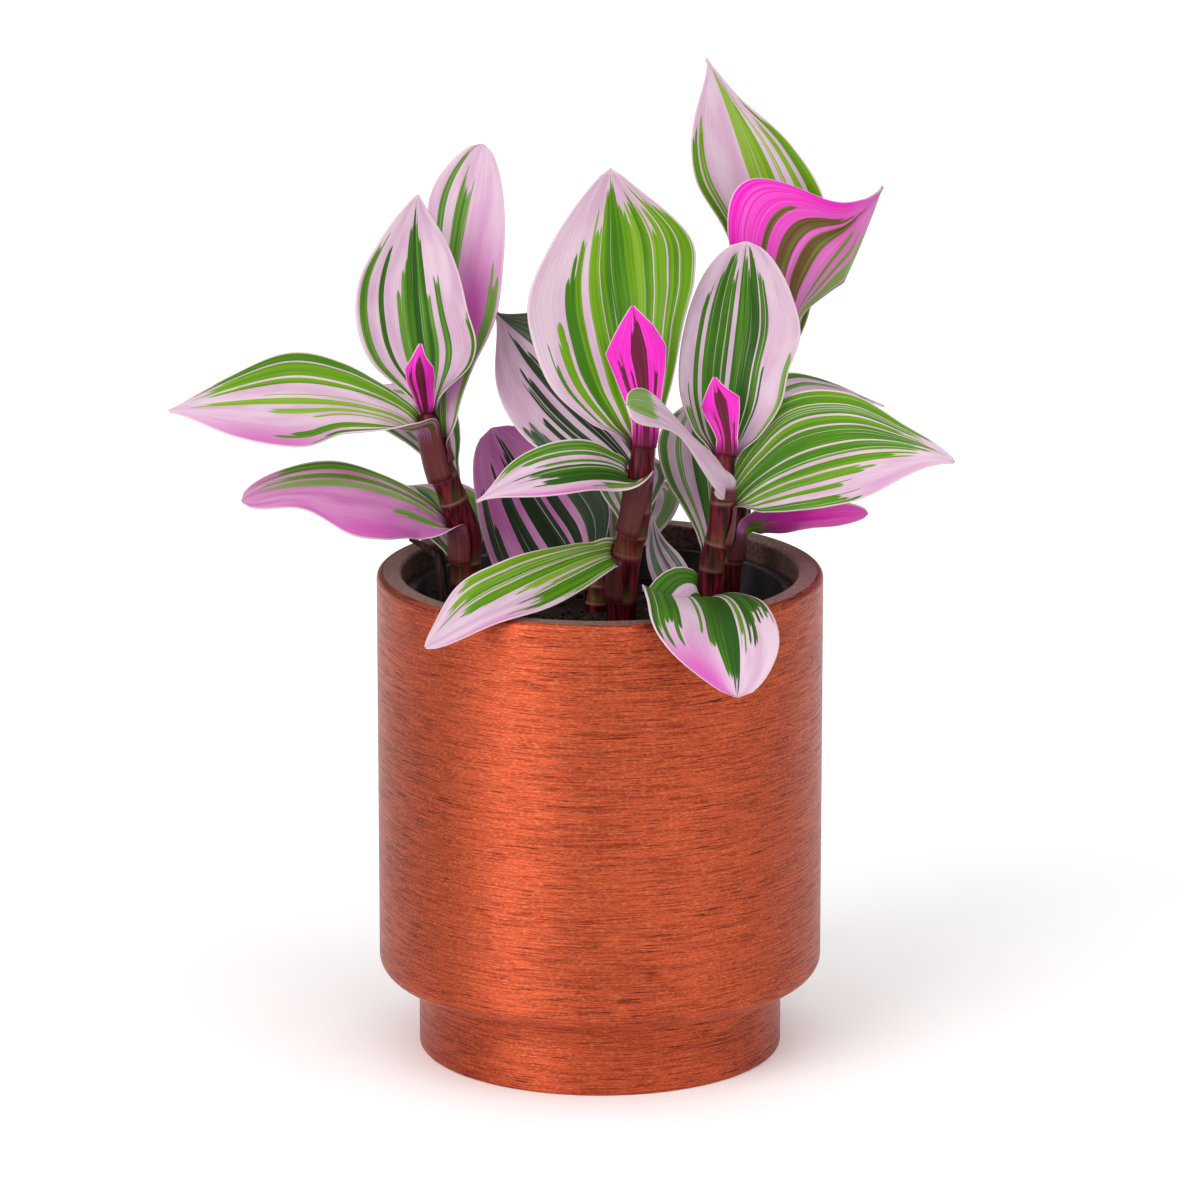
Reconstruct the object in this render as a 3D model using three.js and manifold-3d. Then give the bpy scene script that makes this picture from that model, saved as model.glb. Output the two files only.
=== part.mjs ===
// A potted tradescantia with pink and green striped leaves, standing in a stepped round pot.
//
// Millimetres, +Z up. The origin is the centre of the pot's underside, on the surface that it
// stands on. +X is to the right of someone who looks along +Y.
//
// Each leaf and each stem is a solid of its own. A leaf is bent from a grid: its midrib is a
// curve that leaves the stem upright, its outline is a row of half widths, and its lower end is
// a sheath that wraps the stem.

import * as THREE from 'three';
import { mergeVertices } from 'three/addons/utils/BufferGeometryUtils.js';
import Module from 'manifold-3d';

// ---------------------------------------------------------------- driving dimensions

const POT_RADIUS = 63;
const POT_HEIGHT = 139;
const POT_WALL = 7;
const POT_FLOOR = 8;
const RIM_EDGE = 1.8;
const RIM_INNER_EDGE = 1;
const STEP_HEIGHT = 22;
const STEP_EDGE = 5;
const FOOT_RADIUS = 51.7;
const FOOT_EDGE = 1;
const FOOT_HOLLOW_RADIUS = 44.5;
const LEDGE_HEIGHT = STEP_HEIGHT + POT_WALL;

const GROW_POT_TOP = 133;
const GROW_POT_RADIUS = 53;
const GROW_POT_BASE_RADIUS = 41;
const GROW_POT_WALL = 1.2;
const GROW_POT_LIP = 2.4;
const GROW_POT_LIP_HEIGHT = 3;
const DRAIN_COUNT = 5;
const DRAIN_RADIUS = 4;
const DRAIN_CIRCLE = 24;
const DRAIN_SIDES = 10;
const DRILL_LENGTH = 5;

const SOIL_TOP = 123.6;
const SOIL_RINGS = 5;
const SOIL_LUMP = 0.45;
// Waves of the soil's top: turn for each millimetre along X and Y, and turn at the axis.
const BROAD_WAVE = { x: 0.21, atX: 0.8, y: 0.17, atY: -0.4 };
const FINE_WAVE = { x: 0.47, acrossY: -0.33, at: 2.1, y: 0.41, acrossX: 0.19 };

const STEM_FOOT = 112;
const BLADE_THICKNESS = 0.75;
const GAP = 0.3;

const POT_SIDES = 56;
const GROW_POT_SIDES = 36;
const STEM_SIDES = 10;
const STEM_STEPS = 12;
const STALK_SIDES = 8;
const STALK_STEPS = 12;
const SHOOT_STEPS = 4;
const LEAF_ROWS = 9;
const LEAF_COLUMNS = 3;
const SHEATH_ROWS = 2;
const BUD_ROWS = 7;
const BUD_COLUMNS = 2;

// ---------------------------------------------------------------- finishes

const COPPER = new THREE.MeshStandardMaterial({ color: 0xb5583c, roughness: 0.42, metalness: 0.7 });
const GROW_POT_PLASTIC = new THREE.MeshStandardMaterial({ color: 0x2b2624, roughness: 0.6 });
const POTTING_MIX = new THREE.MeshStandardMaterial({ color: 0x2e2320, roughness: 0.95 });
const STEM_MAROON = new THREE.MeshStandardMaterial({ color: 0x5a1528, roughness: 0.5 });
const DRIED_BROWN = new THREE.MeshStandardMaterial({ color: 0x4a2f28, roughness: 0.85 });
const LEAF_PINK = new THREE.MeshStandardMaterial({ color: 0xd9b0cb, roughness: 0.5 });
const LEAF_GREEN = new THREE.MeshStandardMaterial({ color: 0x6f9a45, roughness: 0.5 });
const LEAF_MAGENTA = new THREE.MeshStandardMaterial({ color: 0xe23fae, roughness: 0.5 });

// ---------------------------------------------------------------- stems

// Centre line from the buried foot to the growing tip, and the radius at each of its points.
const STEMS = {
  left: {
    points: [
      [-37.5, 6, STEM_FOOT], [-38, 6, 137], [-38, 6, 148], [-41, 5, 157], [-45, 4, 168],
      [-48, 3.5, 180], [-48.5, 3.4, 184.8],
    ],
    radii: [4.3, 4.3, 4.3, 4.0, 3.7, 2.7, 1.2],
  },
  middle: {
    points: [
      [5, -12, STEM_FOOT], [7, -13, 143], [10, -14, 157], [11.5, -14, 171], [12.5, -13, 184],
      [12.5, -12.5, 198],
    ],
    radii: [4.2, 4.1, 3.9, 3.6, 2.6, 1.2],
  },
  right: {
    points: [
      [28, -8, STEM_FOOT], [31, -9, 140], [33.5, -9, 153], [34.5, -8, 167], [35.5, -6, 180],
      [35.5, -5.5, 190],
    ],
    radii: [3.3, 3.3, 3.4, 3.1, 2.3, 1.0],
  },
  back_right: {
    points: [
      [36, 18, STEM_FOOT], [37, 19, 137], [41, 22, 160], [48, 25, 185], [54, 28, 202],
      [56, 29, 212],
    ],
    radii: [3.6, 3.4, 3.0, 2.8, 2.4, 1.0],
  },
  back: {
    points: [[-2, 12, STEM_FOOT], [-1, 13, 126], [0, 14, 140]],
    radii: [3.2, 3.0, 1.8],
  },
};

// The dried stalk stands beside the left stem. Its side shoot leaves it at the fork.
const DRIED_STALK = {
  points: [
    [-43.5, 15, 114], [-44.5, 15.5, 126], [-45.6, 16, 137], [-47.5, 16, 140], [-54, 16, 144],
  ],
  radii: [1.8, 1.8, 1.5, 1.2, 0.7],
};
const DRIED_SHOOT = {
  points: [[-44.6, 15.6, 127], [-46, 15.4, 128.8], [-48, 15.2, 129.4]],
  radii: [1.0, 0.9, 0.6],
};

// ---------------------------------------------------------------- leaves

// node      height on the stem of the sheath's mouth, where the blade begins
// sheath    length of the tube of leaf that wraps the stem below the mouth
// heading   side of the stem that the blade leaves from, in degrees from +X towards +Y
// rise      how far the midrib climbs beside the stem before it bends away
// bend, tip the midrib's third and fourth control points
// faces     the way that the upper face looks
// left,     half widths from the midrib to the margin, at five even steps from the mouth to the
// right     tip, seen from the upper face with the tip up
// blunt     half width of the tip
// cup       how far the blade turns up between midrib and margin, in degrees (one side, or both)
// fold      turn at the midrib itself, in degrees
// clasp     share of the length over which the base opens from the stem
// grip      half of the arc that the base spans at the mouth, in degrees
// wrap      half of the arc that the sheath spans at its foot, in degrees
const LEAF_DEFAULTS = {
  sheath: 6, rise: 12, blunt: 0.5, cup: 20, fold: 0, clasp: 0.17, grip: 60, wrap: 80,
  rows: LEAF_ROWS, columns: LEAF_COLUMNS, finish: LEAF_PINK,
};

const LEAVES = [
  // left stem
  {
    name: 'leaf_left_outer', stem: 'left', node: 178, sheath: 13, heading: 200, rise: 9,
    bend: [-84, -10, 194], tip: [-120, -14, 188], faces: [0, -0.7, 0.7],
    left: [11, 10, 11, 19, 15], right: [4.8, 8, 12, 14, 9], blunt: 2,
    fold: [0, 5], cup: [25, 30], clasp: [0.5, 0.25], grip: [116, 70], wrap: 104,
  },
  {
    name: 'leaf_left_front', stem: 'left', node: 183, sheath: 3, heading: 80,
    bend: [-55, 20, 221], tip: [-51, 12, 244], faces: [0.05, -1, 0.25],
    left: [7.5, 16, 19, 17, 10], right: [10, 18, 16, 14, 10], blunt: 3,
    cup: [40, 60], clasp: [0.2, 0.25], wrap: 50,
  },
  {
    name: 'leaf_left_tall', stem: 'left', node: 173, sheath: 4, heading: 20,
    bend: [-43, 30, 226], tip: [-33, 36, 254], faces: [-0.2, -1, 0.2],
    left: [4, 5, 6, 8.5, 12], right: [4, 8, 14, 14.5, 12.5], blunt: 9,
    cup: [20, 15], grip: 55, wrap: 70,
  },
  {
    name: 'leaf_left_low', stem: 'left', node: 151, sheath: 11, heading: 195, rise: 4,
    bend: [-70, -6, 173], tip: [-100, -14, 162], faces: [0, -0.5, 0.85],
    left: [8, 11, 16, 16.5, 8.5], right: [4, 5, 7, 8.5, 8], blunt: 8,
    fold: [-15, 0], cup: [10, 30], clasp: [0.3, 0.2], grip: [90, 60], wrap: 90,
  },
  {
    name: 'leaf_left_rear', stem: 'left', node: 161, sheath: 3, heading: 75, rise: 9,
    bend: [-52, 32, 186], tip: [-80, 60, 176], faces: [0, -0.3, 1],
    left: [3, 7, 12, 13, 8], right: [4, 8, 12, 13, 8], grip: 35, wrap: 40,
  },
  {
    name: 'leaf_left_rear_low', stem: 'left', node: 137, sheath: 3, heading: 95, rise: 6,
    bend: [-47, 44, 156], tip: [-57, 73, 145], faces: [0, 0, 1],
    left: [5, 9, 12, 12, 8], right: [5, 9, 12, 12, 8], grip: 50, wrap: 50,
  },

  // middle stem
  {
    name: 'leaf_middle_tall', stem: 'middle', node: 176, sheath: 0, heading: 95, rise: 14,
    bend: [4, 20, 215], tip: [3, 4, 253], faces: [-0.05, -1, 0.2],
    left: [14, 24, 28, 28, 19.5], right: [6, 11, 16.5, 23.5, 25], blunt: 7,
    cup: [35, 45], grip: 50, finish: LEAF_GREEN,
  },
  {
    name: 'leaf_middle_front', stem: 'middle', node: 168, sheath: 15, heading: 215, rise: 5,
    bend: [-11, -34, 180], tip: [-34, -38, 168], faces: [-0.1, -0.6, 0.8],
    left: [12, 9, 9, 9, 6], right: [6, 8.5, 9.5, 9.5, 7],
    fold: [-5, 0], cup: [10, 30], clasp: [0.4, 0.25], grip: [90, 40], wrap: 70,
  },
  {
    name: 'leaf_middle_low', stem: 'middle', node: 146, sheath: 12, heading: 195, rise: 2,
    bend: [-17, -52, 149.5], tip: [-47.5, -70, 135], faces: [0.1, -0.7, 0.7],
    left: [5, 6.5, 8, 8.5, 5], right: [5, 7, 9, 11, 12], blunt: 5,
    cup: 15, clasp: 0.2, wrap: 75,
  },
  {
    name: 'leaf_middle_striped', stem: 'middle', node: 166, heading: 95, rise: 10,
    bend: [-11, 20, 185], tip: [-30, 26, 208], faces: [0.1, -1, 0.3],
    left: [7, 14, 19, 19, 14], right: [7, 14, 20, 23, 21],
    cup: 30, grip: 45, wrap: 45,
  },
  {
    name: 'leaf_middle_rear', stem: 'middle', node: 150, sheath: 3, heading: 75, rise: 6,
    bend: [8, 22, 161], tip: [7, 62, 162], faces: [0, -0.3, 1],
    left: [4, 6, 9, 11, 8], right: [3, 4, 8, 11, 8], grip: 50, wrap: 40,
  },

  // right stem
  {
    name: 'leaf_right_tall', stem: 'right', node: 172, sheath: 0, heading: 90, rise: 14,
    bend: [39, 14, 205], tip: [41, 6, 232], faces: [0, -1, 0.2],
    left: [10, 15, 16.5, 16, 14.5], right: [9.5, 15, 16.5, 19.5, 16.5], blunt: 12,
    cup: [35, 45], grip: 50, finish: LEAF_GREEN,
  },
  {
    name: 'leaf_right_outer', stem: 'right', node: 159, sheath: 10, heading: 25, rise: 6,
    bend: [70, 1, 186.5], tip: [99, -10, 172.5], faces: [0.1, -0.85, 0.5],
    left: [6, 11, 17.5, 15, 6.5], right: [8, 13, 17, 18, 14],
    blunt: 3, wrap: 85, finish: LEAF_GREEN,
  },
  {
    name: 'leaf_right_heart', stem: 'right', node: 133, sheath: 4, heading: -103, rise: 1.7,
    bend: [38.6, -70.6, 155.3], tip: [37.2, -77.7, 123], faces: [0, -0.5, 1],
    left: [3.3, 6.7, 9.4, 11.3, 13.3], right: [17.3, 20.5, 23.2, 24.9, 25.3], blunt: 12,
    cup: [4, 37], grip: 45, wrap: 45,
  },
  {
    name: 'leaf_right_ribbon', stem: 'right', node: 165, sheath: 3.5, heading: -62, rise: 5.2,
    bend: [22, -41.8, 190.3], tip: [7.2, -55, 199.3], faces: [-0.4, 0.5, -0.5],
    left: [2.5, 1.7, 2.4, 6, 10.3], right: [7.2, 8.6, 5.6, 1.6, 3.4], blunt: 9.3,
    cup: [16, 8], clasp: 0.12, grip: 40, wrap: 50,
  },
  {
    name: 'leaf_right_small', stem: 'right', node: 130, sheath: 4, heading: 150, rise: 4,
    bend: [14, -1, 139], tip: [15, -4, 155.5], faces: [0.1, -1, 0.3],
    left: [3.5, 5, 6, 5, 3], right: [2.6, 4, 5, 5, 3], cup: 30, grip: 45, wrap: 60,
  },
  {
    name: 'leaf_right_rear', stem: 'right', node: 145, sheath: 3, heading: 100, rise: 8,
    bend: [23, 22, 173], tip: [32, 58, 178], faces: [0, -0.3, 1],
    left: [4, 7, 11, 12, 8], right: [4, 6, 9, 11, 8], grip: 50, wrap: 50,
  },

  // back right stem
  {
    name: 'leaf_top_upright', stem: 'back_right', node: 196, sheath: 5, heading: 100,
    bend: [44, 44, 256], tip: [30, 38, 278], faces: [-0.1, -1, 0.3],
    left: [7, 10, 13, 17.5, 13], right: [7, 12, 18, 13, 4],
    cup: 30, grip: 50, wrap: 70,
  },
  {
    name: 'leaf_top_tipped', stem: 'back_right', node: 198, sheath: 5, heading: -118, rise: 19.4,
    bend: [70, 10.6, 233], tip: [81.8, 77.4, 233.4], faces: [-0.7, 1, -0.15],
    left: [3, 9.3, 12.6, 15.4, 6], right: [12.4, 30, 34, 12, 4],
    cup: [58, 20], grip: 50, wrap: 70, finish: LEAF_MAGENTA,
  },
  {
    name: 'leaf_right_under', stem: 'back_right', node: 145, sheath: 8, heading: -20, rise: 4,
    bend: [57, 12, 150], tip: [76, 14, 152], faces: [0, 0.7, 0.7],
    left: [5, 7, 8, 8, 7], right: [5, 7, 8, 8, 7.5], blunt: 7, finish: LEAF_MAGENTA,
  },
  {
    name: 'leaf_far_rear', stem: 'back_right', node: 172, sheath: 4, heading: 60, rise: 8,
    bend: [62, 40, 186], tip: [82, 62, 172], faces: [0, -0.3, 1],
    left: [5, 9, 12, 13, 8], right: [5, 9, 12, 13, 8], grip: 50, wrap: 50,
  },
  {
    name: 'leaf_far_rear_low', stem: 'back_right', node: 152, sheath: 3, heading: 65, rise: 6,
    bend: [52, 46, 163], tip: [68, 76, 147], faces: [0, 0, 1],
    left: [5, 9, 12, 12, 8], right: [5, 9, 12, 12, 8], grip: 50, wrap: 50,
  },

  // back stem
  {
    name: 'leaf_back_broad', stem: 'back', node: 129, sheath: 3, heading: 135, rise: 3,
    bend: [-17, 22, 148], tip: [-31, 34, 172], faces: [0.2, -1, 0.4],
    left: [10, 18, 22, 20, 16], right: [3.4, 10.4, 17.5, 18, 17], blunt: 13,
    cup: [25, 27], grip: [40, 34], wrap: 40,
  },
  {
    name: 'leaf_back_rear', stem: 'back', node: 134, sheath: 3, heading: 10, rise: 5,
    bend: [18, 42, 157], tip: [6, 84, 145], faces: [0, 0, 1],
    left: [3, 5.5, 11, 13, 8], right: [4, 9, 13, 13, 8], grip: 40, wrap: 45,
  },

  // buds of the stem tips
  {
    name: 'bud_left', stem: 'left', node: 184, sheath: 0, heading: -100, rise: 6,
    bend: [-51.5, -8, 197], tip: [-50, -6, 205.5], faces: [0, 1, 0],
    left: [3, 3.5, 4.5, 4.5, 2.2], right: [3, 3.5, 4.5, 4.5, 2.2],
    cup: 50, grip: 50, rows: BUD_ROWS, columns: BUD_COLUMNS, finish: LEAF_MAGENTA,
  },
  {
    name: 'bud_middle', stem: 'middle', node: 178, sheath: 0, heading: -85, rise: 14,
    bend: [10, -16, 206], tip: [9, -14, 218], faces: [0, 1, 0],
    left: [4, 5, 7, 8.5, 5.5], right: [4, 6, 8, 10, 5.3],
    cup: 40, rows: BUD_ROWS, columns: BUD_COLUMNS, finish: LEAF_MAGENTA,
  },
  {
    name: 'bud_right', stem: 'right', node: 174, sheath: 0, heading: -85, rise: 10,
    bend: [32, -8, 188], tip: [32, -6, 196], faces: [0, 1, 0],
    left: [3, 4, 5.5, 6.5, 3.4], right: [3, 4, 5, 5.5, 2.8],
    cup: 40, rows: BUD_ROWS, columns: BUD_COLUMNS, finish: LEAF_MAGENTA,
  },
];

// ---------------------------------------------------------------- solids and booleans

const wasm = await Module();
wasm.setup();

const MERGE_DISTANCE = 1e-4;

// One closed surface: shared corners are merged, and only positions stay.
function closed(geometry) {
  geometry.deleteAttribute('normal');
  geometry.deleteAttribute('uv');
  return mergeVertices(geometry, MERGE_DISTANCE);
}

function toSolid(geometry) {
  return new wasm.Manifold(new wasm.Mesh({
    numProp: 3,
    vertProperties: new Float32Array(geometry.attributes.position.array),
    triVerts: new Uint32Array(geometry.index.array),
  }));
}

function fromSolid(solid) {
  const mesh = solid.getMesh();
  const geometry = new THREE.BufferGeometry();
  geometry.setAttribute('position', new THREE.BufferAttribute(mesh.vertProperties, mesh.numProp));
  geometry.setIndex(new THREE.BufferAttribute(mesh.triVerts, 1));
  return geometry;
}

// A turned solid: the profile holds radii and heights, from the axis round to the axis.
function turned(profile, sides) {
  const geometry = closed(new THREE.LatheGeometry(profile, sides));
  return geometry.rotateX(Math.PI / 2);
}

// ---------------------------------------------------------------- curves

const CURVE_TENSION = 0.5;

function curveThrough(points) {
  const corners = points.map((point) => new THREE.Vector3(...point));
  return new THREE.CatmullRomCurve3(corners, false, 'catmullrom', CURVE_TENSION);
}

// A smooth value between 0 and 1 of the way along evenly spaced numbers.
function valueThrough(values) {
  const curve = curveThrough(values.map((value) => [value, 0, 0]));
  return (share) => curve.getPoint(share).x;
}

const ease = (share) => THREE.MathUtils.smoothstep(share, 0, 1);
const radians = THREE.MathUtils.degToRad;
const bothSides = (value) => (Array.isArray(value) ? value : [value, value]);

// The part of a vector that stands square to a direction, at length 1.
function squareTo(direction, vector) {
  return vector.clone().addScaledVector(direction, -vector.dot(direction)).normalize();
}

// ---------------------------------------------------------------- stems

const HALVINGS = 40;

class Stem {
  constructor({ points, radii }) {
    this.axis = curveThrough(points);
    this.radiusAt = valueThrough(radii);
  }

  // Centre, direction and radius of the stem where it reaches a height.
  atHeight(height) {
    let low = 0;
    let high = 1;
    for (let step = 0; step < HALVINGS; step += 1) {
      const middle = (low + high) / 2;
      if (this.axis.getPoint(middle).z < height) {
        low = middle;
      } else {
        high = middle;
      }
    }
    return {
      centre: this.axis.getPoint(low),
      up: this.axis.getTangent(low).normalize(),
      radius: this.radiusAt(low),
    };
  }

  // A cylinder bent along the axis. With extra, it is that much larger all round.
  geometry(sides, steps, extra = 0) {
    const geometry = closed(new THREE.CylinderGeometry(1, 1, 1, sides, steps));
    const position = geometry.attributes.position;
    for (let index = 0; index < position.count; index += 1) {
      const share = position.getY(index) + 0.5;
      const along = this.axis.getTangent(share).normalize();
      const first = squareTo(along, new THREE.Vector3(1, 0, 0));
      const second = new THREE.Vector3().crossVectors(along, first);
      const radius = this.radiusAt(share) + extra;
      const place = this.axis.getPoint(share)
        .addScaledVector(first, position.getZ(index) * radius)
        .addScaledVector(second, position.getX(index) * radius)
        .addScaledVector(along, extra * Math.sign(share - 0.5));
      position.setXYZ(index, place.x, place.y, place.z);
    }
    return geometry;
  }
}

// ---------------------------------------------------------------- leaves

const STRAIGHT_SHARE = 0.2;
const NARROWEST = 0.5;
const TIP_ROUNDING = 8;

class Leaf {
  constructor(spec, stems) {
    Object.assign(this, LEAF_DEFAULTS, spec);
    this.host = stems[this.stem];
    const { centre, up, radius } = this.host.atHeight(this.node);
    this.out = squareTo(up, this.headingVector());
    this.baseRadius = radius + GAP + BLADE_THICKNESS / 2;
    const base = centre.addScaledVector(this.out, this.baseRadius);
    this.midrib = new THREE.CubicBezierCurve3(
      base,
      base.clone().addScaledVector(up, this.rise),
      new THREE.Vector3(...this.bend),
      new THREE.Vector3(...this.tip),
    );
    this.facing = new THREE.Vector3(...this.faces).normalize();
    this.grips = bothSides(this.grip);
    this.cups = bothSides(this.cup);
    this.folds = bothSides(this.fold);
    this.clasps = bothSides(this.clasp);
    this.widths = [this.left, this.right].map((widths, side) => {
      const atMouth = this.baseRadius * radians(this.grips[side]);
      return valueThrough([atMouth, ...widths, this.blunt]);
    });
    this.widest = [Math.max(...this.left), Math.max(...this.right)];
  }

  headingVector() {
    const angle = radians(this.heading);
    return new THREE.Vector3(Math.cos(angle), Math.sin(angle), 0);
  }

  // Place and directions of the midrib: along it, out of the upper face, and to the right.
  frameAt(share) {
    const along = this.midrib.getTangent(share).normalize();
    const held = 1 - ease(share / STRAIGHT_SHARE);
    const wanted = this.out.clone().multiplyScalar(-held).addScaledVector(this.facing, 1 - held);
    const face = squareTo(along, wanted);
    const right = new THREE.Vector3().crossVectors(along, face);
    return { centre: this.midrib.getPoint(share), face, right };
  }

  // A point of the middle surface, with its normal. The section is an arc that starts at the
  // midrib: near the mouth it is the stem's own round, and further on it has the blade's cup.
  bladePoint(share, side, part) {
    const { centre, face, right } = this.frameAt(share);
    const hand = side === 0 ? -1 : 1;
    const rounding = Math.sqrt(1 - share ** TIP_ROUNDING);
    const width = Math.max(this.widths[side](share) * rounding, NARROWEST) * part;
    const clasping = 1 - ease(share / this.clasps[side]);
    const cupping = (1 - clasping) * radians(this.cups[side]) / this.widest[side];
    const curvature = clasping / this.baseRadius + cupping;
    const start = radians(this.folds[side]) * (1 - clasping);
    const end = start + curvature * width;
    const across = (Math.sin(end) - Math.sin(start)) / curvature;
    const raised = (Math.cos(start) - Math.cos(end)) / curvature;
    const point = centre.addScaledVector(right, hand * across).addScaledVector(face, raised);
    const normal = face.clone().multiplyScalar(Math.cos(end))
      .addScaledVector(right, -hand * Math.sin(end));
    return { point, normal };
  }

  // A point of the sheath, from its foot (share 0) to the mouth (share 1).
  sheathPoint(share, side, part) {
    const { centre, up, radius } = this.host.atHeight(this.node - this.sheath * (1 - share));
    const out = squareTo(up, this.headingVector());
    const right = new THREE.Vector3().crossVectors(up, out).negate();
    const hand = side === 0 ? -1 : 1;
    const arc = THREE.MathUtils.lerp(this.wrap, this.grips[side], ease(share));
    const angle = radians(arc) * part;
    const normal = out.multiplyScalar(-Math.cos(angle))
      .addScaledVector(right, -hand * Math.sin(angle));
    const distance = radius + GAP + BLADE_THICKNESS / 2;
    return { point: centre.addScaledVector(normal, -distance), normal };
  }

  // Rows of points from the sheath's foot to the tip, each from left margin to right margin.
  grid() {
    const row = (pointAt) => {
      const places = [];
      for (let column = -this.columns; column <= this.columns; column += 1) {
        const side = column < 0 ? 0 : 1;
        places.push(pointAt(side, Math.abs(column) / this.columns));
      }
      return places;
    };
    const rows = [];
    for (let step = 0; this.sheath > 0 && step < SHEATH_ROWS; step += 1) {
      rows.push(row((side, part) => this.sheathPoint(step / SHEATH_ROWS, side, part)));
    }
    for (let step = 0; step <= this.rows; step += 1) {
      rows.push(row((side, part) => this.bladePoint(step / this.rows, side, part)));
    }
    return rows;
  }

  geometry() {
    return thickened(this.grid(), BLADE_THICKNESS);
  }
}

// A closed blade round a grid of points: two faces that are split alike, and a margin all round.
function thickened(rows, thickness) {
  const columns = rows[0].length;
  const corners = [];
  for (const { point, normal } of rows.flat()) {
    corners.push(...point.clone().addScaledVector(normal, thickness / 2).toArray());
    corners.push(...point.clone().addScaledVector(normal, -thickness / 2).toArray());
  }
  const upper = (row, column) => 2 * (row * columns + column);
  const lower = (row, column) => upper(row, column) + 1;
  const triangles = [];
  const margin = (fromRow, fromColumn, toRow, toColumn) => {
    const [a, b] = [upper(fromRow, fromColumn), upper(toRow, toColumn)];
    const [c, d] = [lower(fromRow, fromColumn), lower(toRow, toColumn)];
    triangles.push(b, a, c, b, c, d);
  };
  const lastRow = rows.length - 1;
  const lastColumn = columns - 1;
  for (let row = 0; row < lastRow; row += 1) {
    for (let column = 0; column < lastColumn; column += 1) {
      const [a, b] = [upper(row, column), upper(row, column + 1)];
      const [c, d] = [upper(row + 1, column + 1), upper(row + 1, column)];
      triangles.push(a, b, c, a, c, d);
      triangles.push(a + 1, c + 1, b + 1, a + 1, d + 1, c + 1);
    }
    margin(row + 1, 0, row, 0);
    margin(row, lastColumn, row + 1, lastColumn);
  }
  for (let column = 0; column < lastColumn; column += 1) {
    margin(0, column, 0, column + 1);
    margin(lastRow, column + 1, lastRow, column);
  }
  const geometry = new THREE.BufferGeometry();
  geometry.setAttribute('position', new THREE.Float32BufferAttribute(corners, 3));
  geometry.setIndex(triangles);
  return geometry;
}

// ---------------------------------------------------------------- pot, grow pot and soil

const CORNER_STEPS = 3;

// Outside from the foot to the rim, then the inside down to the floor.
function potGeometry() {
  const inner = POT_RADIUS - POT_WALL;
  const path = new THREE.Path();
  path.moveTo(0, 0);
  path.lineTo(FOOT_RADIUS - FOOT_EDGE, 0);
  path.lineTo(FOOT_RADIUS, FOOT_EDGE);
  path.lineTo(FOOT_RADIUS, STEP_HEIGHT);
  path.absarc(POT_RADIUS - STEP_EDGE, STEP_HEIGHT + STEP_EDGE, STEP_EDGE, -Math.PI / 2, 0, false);
  path.absarc(POT_RADIUS - RIM_EDGE, POT_HEIGHT - RIM_EDGE, RIM_EDGE, 0, Math.PI / 2, false);
  path.lineTo(inner + RIM_INNER_EDGE, POT_HEIGHT);
  path.lineTo(inner, POT_HEIGHT - RIM_INNER_EDGE);
  path.lineTo(inner, LEDGE_HEIGHT);
  path.lineTo(FOOT_HOLLOW_RADIUS, LEDGE_HEIGHT);
  path.lineTo(FOOT_HOLLOW_RADIUS, POT_FLOOR);
  path.lineTo(0, POT_FLOOR);
  return turned(path.getPoints(CORNER_STEPS), POT_SIDES);
}

// A thin tapered cup with a lip and a ring of drain holes.
function growPotGeometry() {
  const foot = POT_FLOOR + GAP;
  const lipRadius = GROW_POT_RADIUS + GROW_POT_LIP;
  const outline = [
    [0, foot],
    [GROW_POT_BASE_RADIUS, foot],
    [GROW_POT_RADIUS, GROW_POT_TOP - GROW_POT_LIP_HEIGHT],
    [lipRadius, GROW_POT_TOP - GROW_POT_LIP_HEIGHT],
    [lipRadius, GROW_POT_TOP],
    [GROW_POT_RADIUS - GROW_POT_WALL, GROW_POT_TOP],
    [GROW_POT_BASE_RADIUS - GROW_POT_WALL, foot + GROW_POT_WALL],
    [0, foot + GROW_POT_WALL],
  ];
  const profile = outline.map(([radius, height]) => new THREE.Vector2(radius, height));
  let cup = toSolid(turned(profile, GROW_POT_SIDES));
  for (let index = 0; index < DRAIN_COUNT; index += 1) {
    const angle = (index / DRAIN_COUNT) * 2 * Math.PI;
    const drill = closed(
      new THREE.CylinderGeometry(DRAIN_RADIUS, DRAIN_RADIUS, DRILL_LENGTH, DRAIN_SIDES),
    );
    drill.rotateX(Math.PI / 2);
    drill.translate(DRAIN_CIRCLE * Math.cos(angle), DRAIN_CIRCLE * Math.sin(angle), foot);
    cup = cup.subtract(toSolid(drill));
  }
  return fromSolid(cup);
}

// Height of the lumps of the potting mix over its mean level.
function lump(x, y) {
  const [slow, quick] = [BROAD_WAVE, FINE_WAVE];
  const broad = Math.sin(slow.x * x + slow.atX) * Math.cos(slow.y * y + slow.atY);
  const fine = Math.sin(quick.x * x + quick.acrossY * y + quick.at)
    * Math.cos(quick.y * y + quick.acrossX * x);
  return SOIL_LUMP * (broad + fine);
}

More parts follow.
